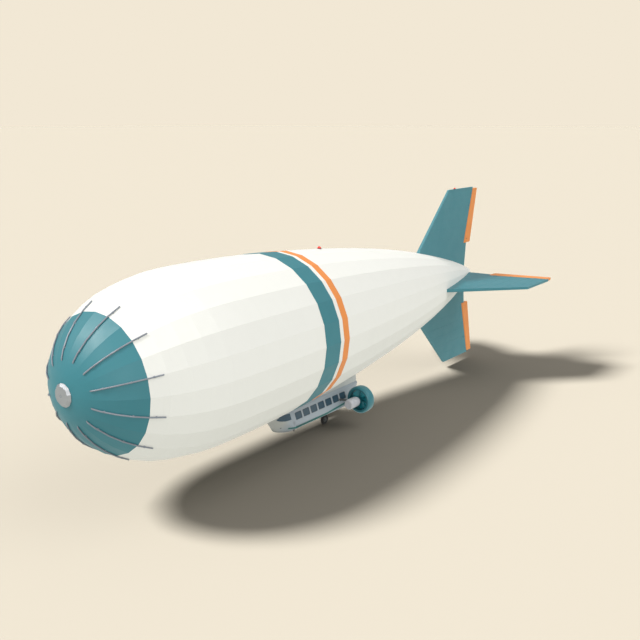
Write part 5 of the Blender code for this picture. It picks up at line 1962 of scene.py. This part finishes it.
@dataclass
class LandingGear:
    """Castoring wheel with its fork and leg."""

    axle: Vector = Vector((0.0, station(14.22), -5.025))
    swivel: float = 14.40
    leg_top: float = -4.5405
    leg_foot: float = -4.6595
    tyre: Profiles = (
        (0.010, 0.2278), (0.012, 0.2210), (0.019, 0.2210), (0.021, 0.2274), (0.036, 0.2255), (0.050, 0.2190),
        (0.062, 0.2060), (0.069, 0.1870), (0.0695, 0.1660), (0.064, 0.1460), (0.058, 0.1320), (0.056, 0.1215))
    hub: Profiles = (
        (0.077, 0.0), (0.077, 0.020), (0.073, 0.026), (0.066, 0.030), (0.058, 0.034), (0.030, 0.046),
        (0.024, 0.060), (0.024, 0.092), (0.034, 0.104), (0.052, 0.110), (0.0545, 0.1195))
    folds: int = 4

    def mirrored(self, half: Profile) -> list[Pair]:
        """Closed profile from one half and its mirror across the wheel's middle."""
        return [(-across, radius) for across, radius in reversed(half)] + list(half)

    def build(self, shop: Workshop) -> None:
        """Build the wheel and dress the fork and leg.

        Args:
            shop: The workshop.
        """
        shop.soften("root", DARK_STEEL, "gear_leg", angle=40.0)
        shop.soften("wheel_fork", DARK_STEEL, "gear_fork", angle=32.0)
        tyre = Shape().turned(self.mirrored(self.tyre), 72, self.axle, PORT)
        shop.place(tyre, "tyre", TYRE_RUBBER, "wheel", "wheel_tyre", smooth=40.0)
        hub = Shape().turned(self.mirrored(self.hub), 48, self.axle, PORT, closed=False)
        shop.place(hub, "wheel_disc", WHEEL_ALLOY, "wheel", "wheel_hub")
        head = ((0.0, 0.0), (0.0, 0.008), (0.009, 0.008), (0.011, 0.005), (0.011, 0.0))
        dome = ((0.0, 0.0), (0.0, 0.034), (0.010, 0.034), (0.018, 0.026), (0.022, 0.0))
        for side in Side:
            out = PORT * side.value
            foot = self.axle + Vector((side.value * 0.023, 0.0, 0.076))
            bolt = Shape().turned(head, 6, foot, out, closed=False)
            shop.place_copies(bolt, f"wheel_bolts_{side.word}", DARK_STEEL, "wheel", count=8, pivot=self.axle,
                              turn=Vector((math.tau / 8, 0.0, 0.0)))
            middle = self.axle + Vector((side.value * 0.028, 0.0, 0.0))
            cap = Shape().turned(dome, 24, middle, out, closed=False)
            shop.place(cap, f"hub_cap_{side.word}", HUB_PAINT, "wheel")
        pitch = (self.leg_top - self.leg_foot) / self.folds
        profile = [(0.0, 0.050)]
        for i in range(self.folds):
            start = pitch * i
            profile += [(start + 0.002, 0.057), (pitch * (i + 0.5), 0.068),
                        (pitch * (i + 1) - 0.002, 0.057)]
        profile.append((pitch * self.folds, 0.050))
        gaiter = Shape().turned(profile, 40, Vector((0.0, station(self.swivel), self.leg_foot)), UP)
        shop.place(gaiter, "leg_gaiter", GASKET_RUBBER, "root", smooth=60.0)
        head = ((0.0, 0.0), (0.0, 0.020), (0.014, 0.020), (0.017, 0.016), (0.017, 0.0))
        nut = Shape().turned(head, 6, self.axle + Vector((-0.112, 0.0, 0.0)), -PORT, closed=False)
        shop.place(nut, "axle_nut", BRIGHT_STEEL, "wheel_fork")


@dataclass(frozen=True)
class Lamp:
    """One distant light of the studio."""

    name: str
    source: Vector
    strength: float
    spread: float
    color: Color
    floor_only: bool = False


KEY_SOURCE = Vector((-0.60, -0.65, 1.0))
FILL_SOURCE = Vector((0.86, 0.30, 1.0))
DOME_SOURCE = Vector((0.35, 0.1, 1.0))
FRONT_SOURCE = Vector((0.586, -0.776, 0.234))


@dataclass
class Studio:
    """Camera, floor and light."""

    eye: Vector = Vector((22.245, -26.485, 8.722))
    target: Vector = Vector((-1.1329, 4.5035, -0.6128))
    roll: float = -0.0024
    lens: float = 47.03
    floor_half: float = 1500.0
    backdrop: Color = (0.887, 0.806, 0.665)
    floor_color: Color = (0.0735, 0.0670, 0.0552)
    ambient: Color = (0.52, 0.52, 0.515)
    ground_glow: Color = (0.79, 0.79, 0.72)
    # Dimmer glow round the gondola: a painted shadow in the light that the floor gives.
    pool: Color = (0.30, 0.30, 0.27)
    pool_middle: Triple = (0.0, 1.4, 0.0)
    pool_reach: Triple = (1.8, 4.2, 1.0)
    lamps: tuple[Lamp, ...] = (
        Lamp("key", KEY_SOURCE, 2.6, math.radians(15.0), (1.0, 0.985, 0.95)),
        Lamp("fill", FILL_SOURCE, 1.2, math.radians(40.0), (1.0, 1.0, 0.98)),
        Lamp("front", FRONT_SOURCE, 0.8, math.radians(40.0), (1.0, 1.0, 0.98)),
        Lamp("key_on_floor", KEY_SOURCE, 36.8, math.radians(15.0), (1.0, 1.0, 1.0), True),
        Lamp("fill_on_floor", FILL_SOURCE, 3.1, math.radians(60.0), (1.0, 1.0, 1.0), True),
        Lamp("dome_on_floor", DOME_SOURCE, 3.9, math.radians(150.0), (1.0, 1.0, 1.0), True),
    )

    def camera(self) -> None:
        """Make the camera that sees the ship as the photograph does."""
        data = bpy.data.cameras.new("camera")
        data.lens = self.lens
        data.sensor_width = 36.0
        data.clip_end = 5000.0
        camera = bpy.data.objects.new("camera", data)
        camera.rotation_mode = "QUATERNION"
        turn = (self.target - self.eye).to_track_quat("-Z", "Y")
        camera.rotation_quaternion = turn @ Matrix.Rotation(self.roll, 3, "Z").to_quaternion()
        camera.location = self.eye
        bpy.context.collection.objects.link(camera)
        bpy.context.scene.camera = camera

    def light(self, lamp: Lamp, floor: bpy.types.Collection) -> None:
        """Add a distant light, for all or for the floor alone.

        Args:
            lamp: The lamp.
            floor: Collection that holds the floor.
        """
        data = bpy.data.lights.new(lamp.name, "SUN")
        data.energy = lamp.strength
        data.angle = lamp.spread
        data.color = lamp.color
        light = bpy.data.objects.new(lamp.name, data)
        light.rotation_mode = "QUATERNION"
        light.rotation_quaternion = lamp.source.to_track_quat("Z", "Y")
        bpy.context.collection.objects.link(light)
        if lamp.floor_only:
            light.light_linking.receiver_collection = floor

    def world(self) -> None:
        """Even light from all round, behind a backdrop of the floor's tone."""
        world = bpy.data.worlds.new("studio")
        world.use_nodes = True
        board = NodeBoard(world.node_tree)
        world.node_tree.nodes.clear()
        light = board.add("ShaderNodeBackground", {"Color": (*self.ambient, 1.0)})
        seen = board.add("ShaderNodeBackground", {"Color": (*self.backdrop, 1.0)})
        ray = board.add("ShaderNodeLightPath")
        mixed = board.add("ShaderNodeMixShader", {0: ray.outputs["Is Camera Ray"], 1: light.outputs[0],
                                                  2: seen.outputs[0]})
        board.add("ShaderNodeOutputWorld", {0: mixed.outputs[0]})
        bpy.context.scene.world = world

    def floor(self, height: float) -> Object:
        """Wide matte floor under the wheel, which lights the ship from below with a glow that is dimmed in a
        painted shadow under the gondola.

        Args:
            height: Height of the floor.

        Returns:
            The floor.
        """
        material = bpy.data.materials.new("floor")
        material.use_nodes = True
        board = NodeBoard(material.node_tree)
        material.node_tree.nodes.clear()
        matte = board.add("ShaderNodeBsdfDiffuse", {"Color": (*self.floor_color, 1.0)})
        place = board.add("ShaderNodeTexCoord").outputs["Object"]
        away = board.add("ShaderNodeVectorMath", {0: place, 1: self.pool_middle}, operation="SUBTRACT")
        level = {0: away.outputs[0], 1: (1.0, 1.0, 0.0)}
        flat = board.add("ShaderNodeVectorMath", level, operation="MULTIPLY")
        near = board.add("ShaderNodeVectorMath", {0: flat.outputs[0], 1: self.pool_reach}, operation="DIVIDE")
        reach = board.add("ShaderNodeVectorMath", {0: near.outputs[0]}, operation="LENGTH")
        # Glow dimmed near the gondola, a painted shadow in the floor's light.
        tone = board.blend(board.span(reach.outputs["Value"], 0.5, 1.3), self.pool, self.ground_glow)
        glow = board.add("ShaderNodeEmission", {"Color": tone})
        ray = board.add("ShaderNodeLightPath")
        mixed = board.add("ShaderNodeMixShader", {0: ray.outputs["Is Camera Ray"], 1: glow.outputs[0],
                                                  2: matte.outputs[0]})
        board.add("ShaderNodeOutputMaterial", {0: mixed.outputs[0]})
        mesh = bpy.data.meshes.new("floor")
        half = self.floor_half
        corners = [(-half, -half, height), (half, -half, height), (half, half, height), (-half, half, height)]
        mesh.from_pydata(corners, [], [(0, 1, 2, 3)])
        mesh.materials.append(material)
        floor = bpy.data.objects.new("floor", mesh)
        bpy.context.collection.objects.link(floor)
        floor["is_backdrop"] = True
        return floor

    def build(self, height: float) -> None:
        """Set up the whole studio over a floor at a height.

        Args:
            height: Height of the floor.
        """
        self.camera()
        self.world()
        lit = bpy.data.collections.new("floor_only")
        lit.objects.link(self.floor(height))
        for lamp in self.lamps:
            self.light(lamp, lit)
        bpy.context.scene.view_settings.view_transform = "Standard"
        bpy.context.scene.view_settings.look = "None"


def main() -> None:
    """Build the looks round the frame."""
    logging.basicConfig(level=logging.INFO, format="%(name)s: %(message)s")
    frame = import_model()
    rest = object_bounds()
    Studio().build(rest[0].z)
    shop = Workshop(frame, Paintbox(), CopyTree(), StudTree())
    lines = HullLines(shop)
    Envelope().build(shop, lines)
    NoseFittings().build(shop, lines)
    Tail().build(shop, lines)
    Beacons().build(shop)
    Cabin().build(shop)
    Upholstery().build(shop)
    Dash().build(shop)
    for side in Side:
        Pod(side).build(shop)
    LandingGear().build(shop)
    LOG.info("%d pieces built", shop.count)


if __name__ == "__main__":
    main()
